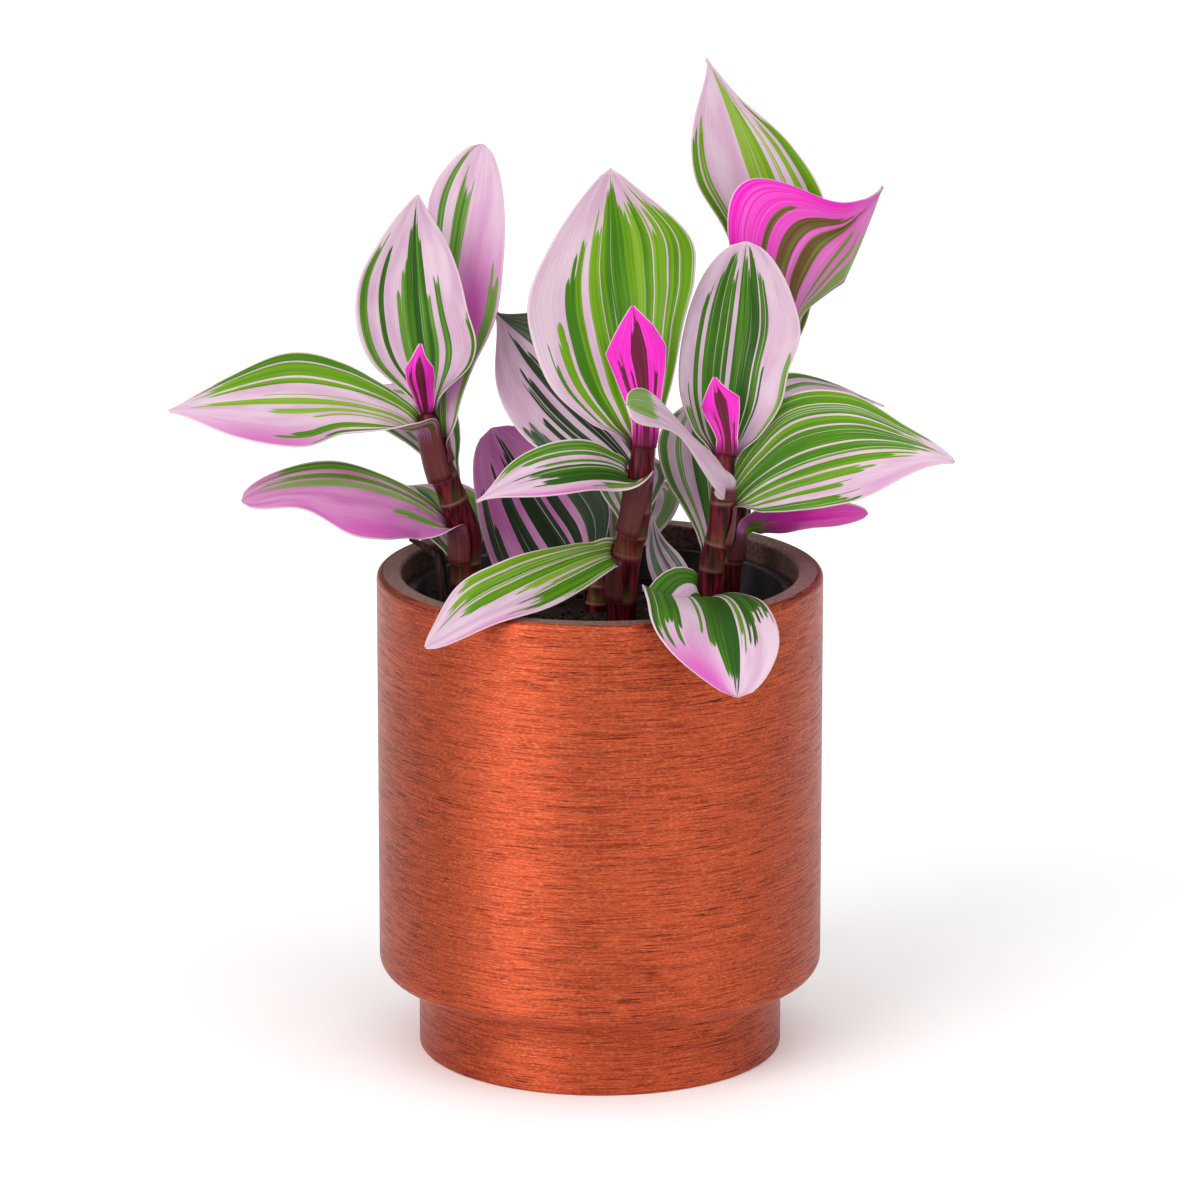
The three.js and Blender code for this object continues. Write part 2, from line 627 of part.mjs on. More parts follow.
// Potting mix fills the grow pot. Each stem stands in a plain hole in it.
function soilGeometry(stems) {
  const foot = POT_FLOOR + GAP + GROW_POT_WALL + GAP;
  const baseRadius = GROW_POT_BASE_RADIUS - GROW_POT_WALL - GAP;
  const taper = (GROW_POT_RADIUS - GROW_POT_BASE_RADIUS) / (GROW_POT_TOP - POT_FLOOR);
  const topRadius = baseRadius + taper * (SOIL_TOP - foot) - GAP;
  const profile = [new THREE.Vector2(0, foot), new THREE.Vector2(baseRadius, foot)];
  for (let ring = 0; ring <= SOIL_RINGS; ring += 1) {
    profile.push(new THREE.Vector2(topRadius * (1 - ring / SOIL_RINGS), SOIL_TOP));
  }
  const geometry = turned(profile, GROW_POT_SIDES);
  const position = geometry.attributes.position;
  for (let index = 0; index < position.count; index += 1) {
    const [x, y, z] = [position.getX(index), position.getY(index), position.getZ(index)];
    if (z > SOIL_TOP - GAP && Math.hypot(x, y) < topRadius - GAP) {
      position.setZ(index, z + lump(x, y));
    }
  }
  let soil = toSolid(geometry);
  for (const stem of stems) {
    soil = soil.subtract(toSolid(stem.geometry(STEM_SIDES, STEM_STEPS, GAP)));
  }
  return fromSolid(soil);
}

function driedStalkGeometry(stalk) {
  const shoot = new Stem(DRIED_SHOOT);
  const upright = toSolid(stalk.geometry(STALK_SIDES, STALK_STEPS));
  return fromSolid(upright.add(toSolid(shoot.geometry(STALK_SIDES, SHOOT_STEPS))));
}

// ---------------------------------------------------------------- assembly

function piece(name, geometry, material) {
  const mesh = new THREE.Mesh(geometry, material);
  mesh.name = name;
  return mesh;
}

const stems = {};
for (const [name, spec] of Object.entries(STEMS)) {
  stems[name] = new Stem(spec);
}
const driedStalk = new Stem(DRIED_STALK);

const plant = new THREE.Group();

const holder = new THREE.Group();
holder.add(piece('pot', potGeometry(), COPPER));
holder.add(piece('grow_pot', growPotGeometry(), GROW_POT_PLASTIC));
holder.add(piece('soil', soilGeometry([...Object.values(stems), driedStalk]), POTTING_MIX));
plant.add(holder);

for (const [name, stem] of Object.entries(stems)) {
  const shoot = new THREE.Group();
  shoot.add(piece(`stem_${name}`, stem.geometry(STEM_SIDES, STEM_STEPS), STEM_MAROON));
  for (const spec of LEAVES.filter((leaf) => leaf.stem === name)) {
    const leaf = new Leaf(spec, stems);
    shoot.add(piece(leaf.name, leaf.geometry(), leaf.finish));
  }
  plant.add(shoot);
}

plant.add(piece('dried_stalk', driedStalkGeometry(driedStalk), DRIED_BROWN));

export default plant;
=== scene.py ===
"""Looks of a potted tradescantia: striped leaves on maroon stems in a stepped copper-red pot.

Lengths in the tables are millimetres, and every mesh is made in metres in the part's own frame:
+Z is up, and the origin is the centre of the pot's underside.
"""

from __future__ import annotations

import logging
import math
import random
from dataclasses import dataclass, field
from enum import Enum
from functools import cached_property

import bpy
import numpy as np
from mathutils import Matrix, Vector


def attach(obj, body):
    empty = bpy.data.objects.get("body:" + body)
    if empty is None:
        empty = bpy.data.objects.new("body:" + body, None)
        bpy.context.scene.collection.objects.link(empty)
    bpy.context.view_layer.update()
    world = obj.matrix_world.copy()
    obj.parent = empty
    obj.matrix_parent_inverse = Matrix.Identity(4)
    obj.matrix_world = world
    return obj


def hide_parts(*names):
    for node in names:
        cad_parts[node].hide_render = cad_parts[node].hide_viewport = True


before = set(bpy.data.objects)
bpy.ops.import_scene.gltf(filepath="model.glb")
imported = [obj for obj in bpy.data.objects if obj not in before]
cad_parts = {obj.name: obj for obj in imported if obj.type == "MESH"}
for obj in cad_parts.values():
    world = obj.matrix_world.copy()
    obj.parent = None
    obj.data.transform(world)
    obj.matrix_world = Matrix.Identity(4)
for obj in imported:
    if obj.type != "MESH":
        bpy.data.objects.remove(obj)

LOG = logging.getLogger("tradescantia")
MM = 0.001
BODY = "root"
OWN_SHARE = 0.68
HALVINGS = 40

Point = tuple[float, float, float]
Profile = list[tuple[float, float]]
Face = tuple[int, ...]
Colour = tuple[float, float, float, float]
EachSide = float | tuple[float, float]
Socket = bpy.types.NodeSocket


class Slot(Enum):
    """Names of the material slots."""

    COPPER = "pot_copper"
    PLASTIC = "grow_pot_plastic"
    SOIL = "potting_mix"
    STEM = "stem_maroon"
    DRIED = "dried_brown"
    PINK = "leaf_pink"
    GREEN = "leaf_green"
    MAGENTA = "leaf_magenta"


# ---------------------------------------------------------------- helpers


def linear(code: str, share: float = OWN_SHARE) -> Colour:
    """Turns a colour as it looks under the studio's lights into the surface's own colour.

    Args:
        code: Six hexadecimal digits, such as "e6bedc".
        share: How much of the seen brightness is the surface's own.

    Returns:
        Red, green, blue and alpha for a shader socket.
    """
    shares = [int(code[i : i + 2], 16) / 255 for i in (0, 2, 4)]
    lit = [share * (c / 12.92 if c <= 0.04045 else ((c + 0.055) / 1.055) ** 2.4) for c in shares]
    return (lit[0], lit[1], lit[2], 1.0)


def ease(share: float | np.ndarray) -> float | np.ndarray:
    """Smooth step from 0 to 1."""
    held = np.clip(share, 0.0, 1.0)
    return held * held * (3 - 2 * held)


def unit(vector: np.ndarray) -> np.ndarray:
    """The vector at length 1."""
    return vector / np.linalg.norm(vector)


def square_to(direction: np.ndarray, vector: np.ndarray) -> np.ndarray:
    """The part of a vector that stands square to a direction, at length 1."""
    return unit(vector - direction * float(vector @ direction))


def both(value: EachSide) -> tuple[float, float]:
    """One value for each side of a blade."""
    return value if isinstance(value, tuple) else (value, value)


def on_circle(radius: float, side: int, sides: int) -> tuple[float, float]:
    """Place of one corner of a regular ring."""
    angle = 2 * math.pi * side / sides
    return radius * math.cos(angle), radius * math.sin(angle)


def through(points: list[float] | list[Point], share: float) -> np.ndarray:
    """A smooth curve through evenly spaced points.

    Args:
        points: One row for each point, or a plain list of numbers.
        share: Place on the curve, from 0 at its start to 1 at its end.

    Returns:
        The point, or number, at that place.
    """
    knots = np.asarray(points, float)
    last = len(knots) - 1
    place = share * last
    span = min(int(place), last - 1)
    part = place - span
    start, end = knots[span], knots[span + 1]
    before = knots[span - 1] if span > 0 else 2 * start - end
    after = knots[span + 2] if span + 2 <= last else 2 * end - start
    leave, arrive = 0.5 * (end - before), 0.5 * (after - start)
    cubic = 2 * start - 2 * end + leave + arrive
    square = -3 * start + 3 * end - 2 * leave - arrive
    return cubic * part**3 + square * part**2 + leave * part + start


def rounded(centre: tuple[float, float], radius: float, start: float, end: float, steps: int) -> Profile:
    """Points of a profile's round corner, between two angles in degrees from straight out."""
    angles = [math.radians(start + (end - start) * step / steps) for step in range(steps + 1)]
    return [(centre[0] + radius * math.cos(a), centre[1] + radius * math.sin(a)) for a in angles]


def ring_faces(rings: int, sides: int, first: int = 0) -> list[Face]:
    """Faces of an open tube made of rings of corners.

    Args:
        rings: Number of rings.
        sides: Number of corners in a ring.
        first: Number of the first ring's first corner.

    Returns:
        Corner numbers of each face.
    """
    faces = []
    for low in range(first, first + (rings - 1) * sides, sides):
        for side in range(sides):
            after = (side + 1) % sides
            faces.append((low + side, low + after, low + sides + after, low + sides + side))
    return faces


def turned_faces(rings: int, sides: int) -> list[Face]:
    """Faces of a closed turned solid, whose first two corners are its ends on the axis.

    Args:
        rings: Number of rings of corners, which follow the two ends.
        sides: Number of corners in a ring.

    Returns:
        Corner numbers of each face.
    """
    first = 2
    last = first + (rings - 1) * sides
    faces = ring_faces(rings, sides, first)
    for side in range(sides):
        after = (side + 1) % sides
        faces.append((0, first + after, first + side))
        faces.append((1, last + side, last + after))
    return faces


def mesh_object(
    name: str, vertices: np.ndarray, faces: list[Face], fields: dict[str, np.ndarray] | None = None
) -> bpy.types.Object:
    """Makes a smooth shaded mesh object.

    Args:
        name: The piece's name.
        vertices: Corners in metres, one row each.
        faces: Corner numbers of each face.
        fields: Named numbers for each corner, which the finishes read.

    Returns:
        The object, linked to the scene.
    """
    mesh = bpy.data.meshes.new(name)
    mesh.from_pydata(vertices.tolist(), [], faces)
    for key, values in (fields or {}).items():
        attribute = mesh.attributes.new(key, "FLOAT", "POINT")
        attribute.data.foreach_set("value", np.asarray(values, np.float32))
    mesh.shade_smooth()
    mesh.validate()
    made = bpy.data.objects.new(name, mesh)
    bpy.context.scene.collection.objects.link(made)
    return made


def lathe(name: str, profile: Profile, sides: int) -> bpy.types.Object:
    """Turns a profile round the Z axis.

    Args:
        name: The piece's name.
        profile: Radii and heights in millimetres, from the axis round to the axis.
        sides: Number of steps round.

    Returns:
        A closed turned mesh.
    """
    vertices = [(0.0, 0.0, profile[0][1]), (0.0, 0.0, profile[-1][1])]
    rings = profile[1:-1]
    for radius, height in rings:
        vertices += [(*on_circle(radius, side, sides), height) for side in range(sides)]
    return mesh_object(name, np.array(vertices) * MM, turned_faces(len(rings), sides))


def settle(made: bpy.types.Object, node: str, slot: Slot, *finishes: bpy.types.Material) -> None:
    """Gives a piece its finish and puts it in its CAD node's place.

    Args:
        made: The finished piece.
        node: The CAD node that it stands for.
        slot: A material slot; not used.
        *finishes: Materials in the order of the mesh's material numbers.
    """
    for finish in finishes:
        made.data.materials.append(finish)
    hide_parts(node)
    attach(made, BODY)
    LOG.info("%s: %d faces, stands for %s", made.name, len(made.data.polygons), node)


# ---------------------------------------------------------------- shader wiring


class Wiring:
    """A material under construction, with short calls for its nodes."""

    def __init__(self, name: str) -> None:
        """Starts a material with a Principled shader.

        Args:
            name: The material's name.
        """
        self.material = bpy.data.materials.new(name)
        self.material.use_nodes = True
        self.tree = self.material.node_tree
        self.tree.nodes.clear()
        self.shader = self.node("BsdfPrincipled")
        self.node("OutputMaterial", {"Surface": self.shader.outputs["BSDF"]})

    def put(self, socket: Socket, value: object) -> None:
        """Links a socket to another, or sets its value.

        Args:
            socket: The input to fill.
            value: Another node's output, or a plain value.
        """
        if isinstance(value, Socket):
            self.tree.links.new(value, socket)
        else:
            socket.default_value = value

    def node(
        self, kind: str, inputs: dict[int | str, object] | None = None, **options: object
    ) -> bpy.types.Node:
        """Adds a node.

        Args:
            kind: The node's type, without the ShaderNode before it.
            inputs: What goes into each input, by its name or number.
            **options: The node's own settings.

        Returns:
            The new node.
        """
        made = self.tree.nodes.new(f"ShaderNode{kind}")
        for name, option in options.items():
            setattr(made, name, option)
        for key, value in (inputs or {}).items():
            self.put(made.inputs[key], value)
        return made

    def attribute(self, name: str) -> Socket:
        """Reads one of the mesh's number fields."""
        return self.node("Attribute", attribute_name=name).outputs["Fac"]

    def vector(self, x: object, y: object, z: object) -> Socket:
        """Joins three numbers into a vector."""
        return self.node("CombineXYZ", {0: x, 1: y, 2: z}).outputs[0]

    def math(self, how: str, *values: object) -> Socket:
        """One step of arithmetic."""
        return self.node("Math", dict(enumerate(values)), operation=how).outputs[0]

    def times(self, value: object, factor: object) -> Socket:
        """One number times another."""
        return self.math("MULTIPLY", value, factor)

    def total(self, first: object, *others: object) -> Socket:
        """Adds numbers up.

        Args:
            first: The first number.
            *others: The numbers that are added to it in turn.

        Returns:
            Their sum.
        """
        added = first
        for other in others:
            added = self.math("ADD", added, other)
        return added

    def spread(self, value: object, low: float, high: float) -> Socket:
        """Stretches a number from between 0 and 1 to between two others."""
        return self.math("MULTIPLY_ADD", value, high - low, low)

    def ramp(self, value: Socket, stops: dict[float, Colour], how: str = "LINEAR") -> Socket:
        """Looks a value up among colours.

        Args:
            value: The number to look up, from 0 to 1.
            stops: Colour at each place.
            how: Whether the colours blend or step.

        Returns:
            The colour.
        """
        node = self.node("ValToRGB", {"Fac": value})
        node.color_ramp.interpolation = how
        elements = node.color_ramp.elements
        for number, place in enumerate(sorted(stops)):
            element = elements[number] if number < len(elements) else elements.new(place)
            element.position = place
            element.color = stops[place]
        return node.outputs["Color"]

    def parts(self, colour: Socket) -> tuple[Socket, ...]:
        """Splits a colour into its three numbers."""
        return tuple(self.node("SeparateColor", {"Color": colour}).outputs)

    def dice(self, number: Socket, seed: float) -> tuple[Socket, ...]:
        """Draws two steady random numbers for each whole number.

        Args:
            number: The whole number.
            seed: Another number, which changes all the draws.

        Returns:
            The two numbers, from 0 to 1.
        """
        place = {"Vector": self.vector(number, seed, 0.0)}
        noise = self.node("TexWhiteNoise", place, noise_dimensions="2D")
        return self.parts(noise.outputs["Color"])[:2]

    def noise(self, place: Socket, detail: float) -> Socket:
        """Soft noise from 0 to 1."""
        return self.node("TexNoise", {"Vector": place, "Scale": 1.0, "Detail": detail}).outputs["Fac"]

    def grain(self, fineness: Point, detail: float = 2.0) -> Socket:
        """Soft noise through the part's own space.

        Args:
            fineness: Steps of the noise to a metre, along each axis.
            detail: How many finer layers it has.

        Returns:
            A number from 0 to 1.
        """
        place = self.node("TexCoord").outputs["Object"]
        stretched = self.node("VectorMath", {0: place, 1: fineness}, operation="MULTIPLY")
        return self.noise(stretched.outputs[0], detail)

    def between(
        self, value: object, low: float, high: float, to_low: float = 0.0, to_high: float = 1.0
    ) -> Socket:
        """A smooth step of a value between two limits.

        Args:
            value: The number that is compared.
            low: Up to here the result is to_low.
            high: From here on the result is to_high.
            to_low: The result at and below the lower limit.
            to_high: The result at and above the upper limit.

        Returns:
            The result.
        """
        limits = {"From Min": low, "From Max": high, "To Min": to_low, "To Max": to_high}
        node = self.node("MapRange", {"Value": value, **limits}, interpolation_type="SMOOTHSTEP")
        return node.outputs["Result"]

    def mix(self, share: object, below: object, above: object) -> Socket:
        """Covers one colour with a share of another."""
        return self.node("Mix", {0: share, 6: below, 7: above}, data_type="RGBA").outputs[2]

    def bump(self, height: Socket, strength: float, distance_mm: float) -> None:
        """Raises the surface by a height from 0 to 1, where 1 stands for some millimetres."""
        node = self.node("Bump", {"Strength": strength, "Distance": distance_mm * MM, "Height": height})
        self.put(self.shader.inputs["Normal"], node.outputs["Normal"])

    def round_the_axis(self) -> Socket:
        """Direction round the part's Z axis."""
        return self.node("Tangent", direction_type="RADIAL", axis="Z").outputs["Tangent"]

    def finish(self, **sockets: object) -> bpy.types.Material:
        """Completes the material.

        Args:
            **sockets: The shader's inputs by their names, with _ for a space.

        Returns:
            The finished material.
        """
        for name, value in sockets.items():
            self.put(self.shader.inputs[name.replace("_", " ")], value)
        return self.material


# ---------------------------------------------------------------- finishes


class Greens(Enum):
    """Three greens of a blade: silvery, fresh and deep. The darkest, greyest set is partly a blade's own
    grey-green and partly painted shade for blades that lie in shadow.
    """

    FRESH = ("94b83a", "72a408", "3e7802")
    LEAF = ("8aaa58", "4e860e", "245402")
    # darker, greyer greens: partly the blade's own grey-green, partly painted shade for blades in shadow
    PAINTED_SHADE = ("7a937a", "42583c", "22331c")


class Pinks(Enum):
    """Two pinks of a blade, which drift into each other."""

    PALE = ("e6c9da", "d9aecb")
    MAUVE = ("dea2cb", "ca78b4")


class Necks(Enum):
    """Olive and maroon of a blade's neck."""

    LEAF = ("64601e", "681a30")
    BUD = ("5a1024", "6e1434")


@dataclass(frozen=True)
class Band:
    """A strip of green tissue along a blade.

    Its sides run from -1 at the left margin to 1 at the right one. It starts and ends at shares
    of the blade's length. Its tone is 0 for silvery, 0.5 for fresh and 1 for deep green.
    """

    left: float
    right: float
    end: float = 0.95
    tone: float = 0.5
    start: float = -0.2


@dataclass(frozen=True)
class Glow:
    """A soft patch of magenta on a blade, with its middle, reach and strength."""

    across: float
    along: float
    reach_across: float
    reach_along: float
    strength: float = 1.0


@dataclass(frozen=True)
class Grain:
    """A noise over a blade: its steps across and along, its own shift and its detail."""

    across: float
    along: float
    shift: float = 0.0
    detail: float = 2.0

    def on(self, wiring: Wiring, across: Socket, along: Socket, seed: float) -> Socket:
        """Adds the noise to a material.

        Args:
            wiring: The material under construction.
            across: Place across the blade.
            along: Place along it.
            seed: The leaf's own number.

        Returns:
            A number from 0 to 1.
        """
        place = wiring.vector(
            wiring.times(across, self.across), wiring.times(along, self.along), seed + self.shift
        )
        return wiring.noise(place, self.detail)


class BladeWiring(Wiring):
    """A leaf's material under construction, with the places and noises that its layers share."""

    DRIFT = Grain(1.3, 2.2)
    HAIRS = Grain(42.0, 1.6, detail=3.0)
    SLOW = Grain(3.0, 3.5, shift=4.0)
    SLITS = Grain(26.0, 0.7, shift=9.0, detail=1.0)
    DRIFT_REACH = 0.035
    STRANDS = 17.0
    STRAND_WARP = 2.2
    WARP_ACROSS = 4.0
    WARP_ALONG = 0.3

    def __init__(self, name: str, seed: float) -> None:
        """Starts the material and wires up what its layers share.

        Args:
            name: The material's name.
            seed: The leaf's own number, which sets its noises.
        """
        super().__init__(name)
        self.along = self.attribute("along")
        across = self.attribute("across")
        drift = self.DRIFT.on(self, across, self.along, seed)
        self.across = self.total(across, self.spread(drift, -self.DRIFT_REACH, self.DRIFT_REACH))
        self.hairs = self.HAIRS.on(self, self.across, self.along, seed)
        self.slow = self.SLOW.on(self, self.across, self.along, seed)
        self.slits = self.SLITS.on(self, self.across, self.along, seed)
        warp_place = self.vector(
            self.times(self.across, self.WARP_ACROSS), seed, self.times(self.along, self.WARP_ALONG)
        )
        warp = self.noise(warp_place, 2.0)
        strand = self.total(self.times(self.across, self.STRANDS), self.times(warp, self.STRAND_WARP))
        self.dice_of_strand = self.dice(self.math("FLOOR", strand), seed)
        beside_middle = self.spread(self.math("FRACT", strand), -1.0, 1.0)
        self.hump = self.times(beside_middle, beside_middle)


@dataclass(frozen=True)
class BladeSkin:
    """Leaf skin: pink tissue with bands of green strands that end at uneven lengths."""

    bands: tuple[Band, ...]
    greens: Greens = Greens.LEAF
    pinks: Pinks = Pinks.PALE
    necks: Necks = Necks.LEAF
    glows: tuple[Glow, ...] = ()
    ragged: float = 0.13
    neck: float = 0.2
    under_share: float = 1.0
    strand_curve: float = 0.022
    cream: str = "eedfda"
    magenta: str = "d955bb"
    rim_line: str = "f0d5da"
    under_pink: str = "cf80bd"
    under_hot: str = "fa10c8"
    under_dark: tuple[str, str, str] = ("6a1238", "6b4a28", "7f9c3e")

    SHIFT = 0.3
    SPAN = 1.5

    def blush(self, along: np.ndarray, across: np.ndarray) -> np.ndarray:
        """Strength of the magenta at each corner of the blade, from 0 to 1.

        Args:
            along: Place along the blade of each corner.
            across: Place across it, from -1 to 1.

        Returns:
            One number for each corner.
        """
        strength = np.zeros(along.shape)
        for glow in self.glows:
            far = ((across - glow.across) / glow.reach_across) ** 2
            far = far + ((along - glow.along) / glow.reach_along) ** 2
            strength = np.maximum(strength, glow.strength * np.exp(-far))
        return strength

    def lookup(self, wiring: BladeWiring) -> tuple[Socket, Socket, Socket]:
        """Finds the band at each place across the blade.

        Shares of the length are kept in a colour between 0 and 1, so they are shifted and scaled.

        Args:
            wiring: The material under construction.

        Returns:
            The band's tone, end and start.
        """
        none = (0.0, 0.0, 0.0, 1.0)
        stops = {0.0: none}
        for band in sorted(self.bands, key=lambda one: one.left):
            end, start = ((share + self.SHIFT) / self.SPAN for share in (band.end, band.start))
            stops[0.5 + band.left / 2] = (band.tone, end, start, 1.0)
            stops[0.5 + band.right / 2] = none
        place = wiring.math("MULTIPLY_ADD", wiring.across, 0.5, 0.5)
        tone, end, start = wiring.parts(wiring.ramp(place, stops, "CONSTANT"))
        high = self.SPAN - self.SHIFT
        return tone, wiring.spread(end, -self.SHIFT, high), wiring.spread(start, -self.SHIFT, high)

    def green_share(self, wiring: BladeWiring, end: Socket, start: Socket) -> Socket:
        """Where green tissue lies, strand by strand.

        Args:
            wiring: The material under construction.
            end: Where the band ends, as a share of the length.
            start: Where it starts.

        Returns:
            1 on green tissue and 0 beside it.
        """
        uneven = wiring.spread(wiring.dice_of_strand[0], -self.ragged / 2, self.ragged / 2)
        uneven = wiring.total(uneven, wiring.times(wiring.hump, self.strand_curve))
        before_end = wiring.math("SUBTRACT", end, wiring.total(wiring.along, uneven))
        past_start = wiring.math("SUBTRACT", wiring.math("SUBTRACT", wiring.along, uneven), start)
        return wiring.times(wiring.between(before_end, 0.0, 0.016), wiring.between(past_start, 0.0, 0.02))

    def upper(self, wiring: BladeWiring, green: Socket, tone: Socket, blush: Socket) -> Socket:
        """Colour of the upper face.

        Args:
            wiring: The material under construction.
            green: Where green tissue lies.
            tone: How deep the green is.
            blush: Strength of the magenta.

        Returns:
            The colour.
        """
        silver, fresh, deep = self.greens.value
        tissue = wiring.ramp(tone, {0.08: linear(silver), 0.5: linear(fresh), 0.95: linear(deep)})
        slits = wiring.between(wiring.slits, 0.66, 0.71, 0.0, 0.45)
        tissue = wiring.mix(slits, tissue, linear(self.cream))
        pale, rosy = self.pinks.value
        pink = wiring.mix(wiring.between(wiring.slow, 0.35, 0.65), linear(pale), linear(rosy))
        pink = wiring.mix(wiring.between(wiring.hairs, 0.5, 0.8, 0.0, 0.4), pink, linear(self.cream))
        return wiring.mix(green, wiring.mix(blush, pink, linear(self.magenta)), tissue)

    def under(self, wiring: BladeWiring, green: Socket, tone: Socket, blush: Socket) -> Socket:
        """Colour of the underside.

        Args:
            wiring: The material under construction.
            green: Where green tissue lies.
            tone: How deep the green is.
            blush: Strength of the magenta.

        Returns:
            The colour.
        """
        dark = wiring.ramp(tone, dict(zip((0.1, 0.5, 0.9), map(linear, self.under_dark))))
        hot = wiring.mix(blush, linear(self.under_pink), linear(self.under_hot))
        hot = wiring.mix(wiring.between(wiring.hairs, 0.45, 0.8, 0.0, 0.25), hot, linear(self.cream))
        return wiring.mix(green, hot, dark)

    def neck_and_rim(self, wiring: BladeWiring, skin: Socket, green: Socket) -> Socket:
        """Tints the blade's neck, and draws the pale line along its margin.

        Args:
            wiring: The material under construction.
            skin: The colour so far.
            green: Where green tissue lies.

        Returns:
            The colour.
        """
        olive, maroon = map(linear, self.necks.value)
        tint = wiring.times(wiring.between(wiring.along, 0.0, self.neck, 0.8, 0.0), green)
        skin = wiring.mix(tint, skin, olive)
        neck = wiring.mix(wiring.between(wiring.hairs, 0.45, 0.75), maroon, olive)
        fade = wiring.total(wiring.along, wiring.spread(wiring.hairs, -0.1, 0.1))
        skin = wiring.mix(wiring.between(fade, -0.04, self.neck * 0.6, 1.0, 0.0), skin, neck)
        line = wiring.between(wiring.attribute("rim"), 0.18, 0.42, 0.9, 0.0)
        line = wiring.times(line, wiring.between(wiring.along, 0.03, 0.12))
        return wiring.mix(line, skin, linear(self.rim_line))

    def material(self, name: str) -> bpy.types.Material:
        """Builds the finish.

        Args:
            name: The leaf's name.

        Returns:
            The finished material.
        """
        wiring = BladeWiring(f"skin_{name}", float(sum(map(ord, name)) % 97))
        tone, end, start = self.lookup(wiring)
        tone = wiring.total(
            tone,
            wiring.spread(wiring.dice_of_strand[1], -0.07, 0.23),
            wiring.spread(wiring.hairs, -0.4, 0.4),
            wiring.spread(wiring.slow, -0.25, 0.25),
            wiring.between(wiring.along, 0.75, 1.0, 0.0, -0.15),
        )
        green = self.green_share(wiring, end, start)
        layers = (wiring, green, tone, wiring.attribute("blush"))
        face = wiring.times(wiring.attribute("under"), self.under_share)
        skin = wiring.mix(wiring.between(face, 0.4, 0.6), self.upper(*layers), self.under(*layers))
        wiring.bump(wiring.total(wiring.hairs, wiring.times(wiring.hump, -0.35)), 0.4, 0.22)
        return wiring.finish(
            Base_Color=self.neck_and_rim(wiring, skin, green),
            Roughness=wiring.between(wiring.hairs, 0.3, 0.7, 0.38, 0.50),
            Specular_IOR_Level=0.16,
        )


def striped(*rows: tuple[float, ...], **looks: object) -> BladeSkin:
    """Makes a blade's skin from rows of each band's left, right, end, tone and start."""
    return BladeSkin(tuple(Band(*row) for row in rows), **looks)


@dataclass(frozen=True)
class StemSkin:
    """Maroon stem with lengthwise streaks, and olive with a pale line at each node."""

    dark: str = "24040a"
    light: str = "7c1826"
    olive: str = "6a5a30"
    ring: str = "a8746c"

    def material(self) -> bpy.types.Material:
        """Builds the finish.

        Returns:
            The finished material.
        """
        wiring = Wiring("stem_skin")
        streaks = wiring.grain((900.0, 900.0, 60.0), 3.0)
        clouds = wiring.grain((90.0, 90.0, 60.0))
        body = wiring.mix(wiring.between(streaks, 0.35, 0.7), linear(self.dark), linear(self.light))
        olive = wiring.times(wiring.attribute("node"), wiring.between(clouds, 0.3, 0.6))
        body = wiring.mix(olive, body, linear(self.olive))
        body = wiring.mix(wiring.attribute("ring"), body, linear(self.ring))
        wiring.bump(streaks, 0.3, 0.15)
        return wiring.finish(Base_Color=body, Roughness=0.38, Specular_IOR_Level=0.14)


@dataclass(frozen=True)
class BrushedCopper:
    """Copper-red metallic coat, brushed level all round, with short dark scratches."""

    light: str = "f98e60"
    base: str = "dc5e3a"
    shade: str = "a44026"
    scratch: str = "300e08"
    fine_lines: Point = (90.0, 90.0, 3200.0)
    wide_lines: Point = (40.0, 40.0, 900.0)
    crackle: Point = (900.0, 900.0, 2600.0)
    clouds: Point = (26.0, 26.0, 40.0)
    cuts: Point = (120.0, 120.0, 4200.0)

    def material(self) -> bpy.types.Material:
        """Builds the finish.

        Returns:
            The finished material.
        """
        wiring = Wiring("brushed_copper")
        fine = wiring.grain(self.fine_lines, 4.0)
        wide = wiring.grain(self.wide_lines)
        crackle = wiring.grain(self.crackle, 3.0)
        clouds = wiring.grain(self.clouds)
        cuts = wiring.grain(self.cuts)
        shade = linear(self.shade)
        body = wiring.mix(wiring.between(fine, 0.30, 0.60), shade, linear(self.base))
        body = wiring.mix(wiring.between(crackle, 0.46, 0.74, 0.0, 0.6), body, linear(self.light))
        body = wiring.mix(wiring.between(crackle, 0.28, 0.42, 0.45, 0.0), body, shade)
        body = wiring.mix(wiring.between(wide, 0.5, 0.72, 0.0, 0.22), body, shade)
        body = wiring.mix(wiring.between(clouds, 0.5, 0.72, 0.0, 0.15), body, shade)
        depth = wiring.total(cuts, wiring.spread(clouds, -0.08, 0.08))
        cut = wiring.between(depth, 0.60, 0.69, 0.0, 0.8)
        relief = wiring.total(wiring.times(fine, 0.8), wiring.times(crackle, 0.5))
        wiring.bump(wiring.math("SUBTRACT", relief, cut), 0.5, 0.22)
        return wiring.finish(
            Base_Color=wiring.mix(cut, body, linear(self.scratch)),
            Metallic=0.9,
            Roughness=wiring.between(fine, 0.3, 0.7, 0.52, 0.42),
            Anisotropic=0.75,
            Anisotropic_Rotation=0.25,
            Tangent=wiring.round_the_axis(),
        )


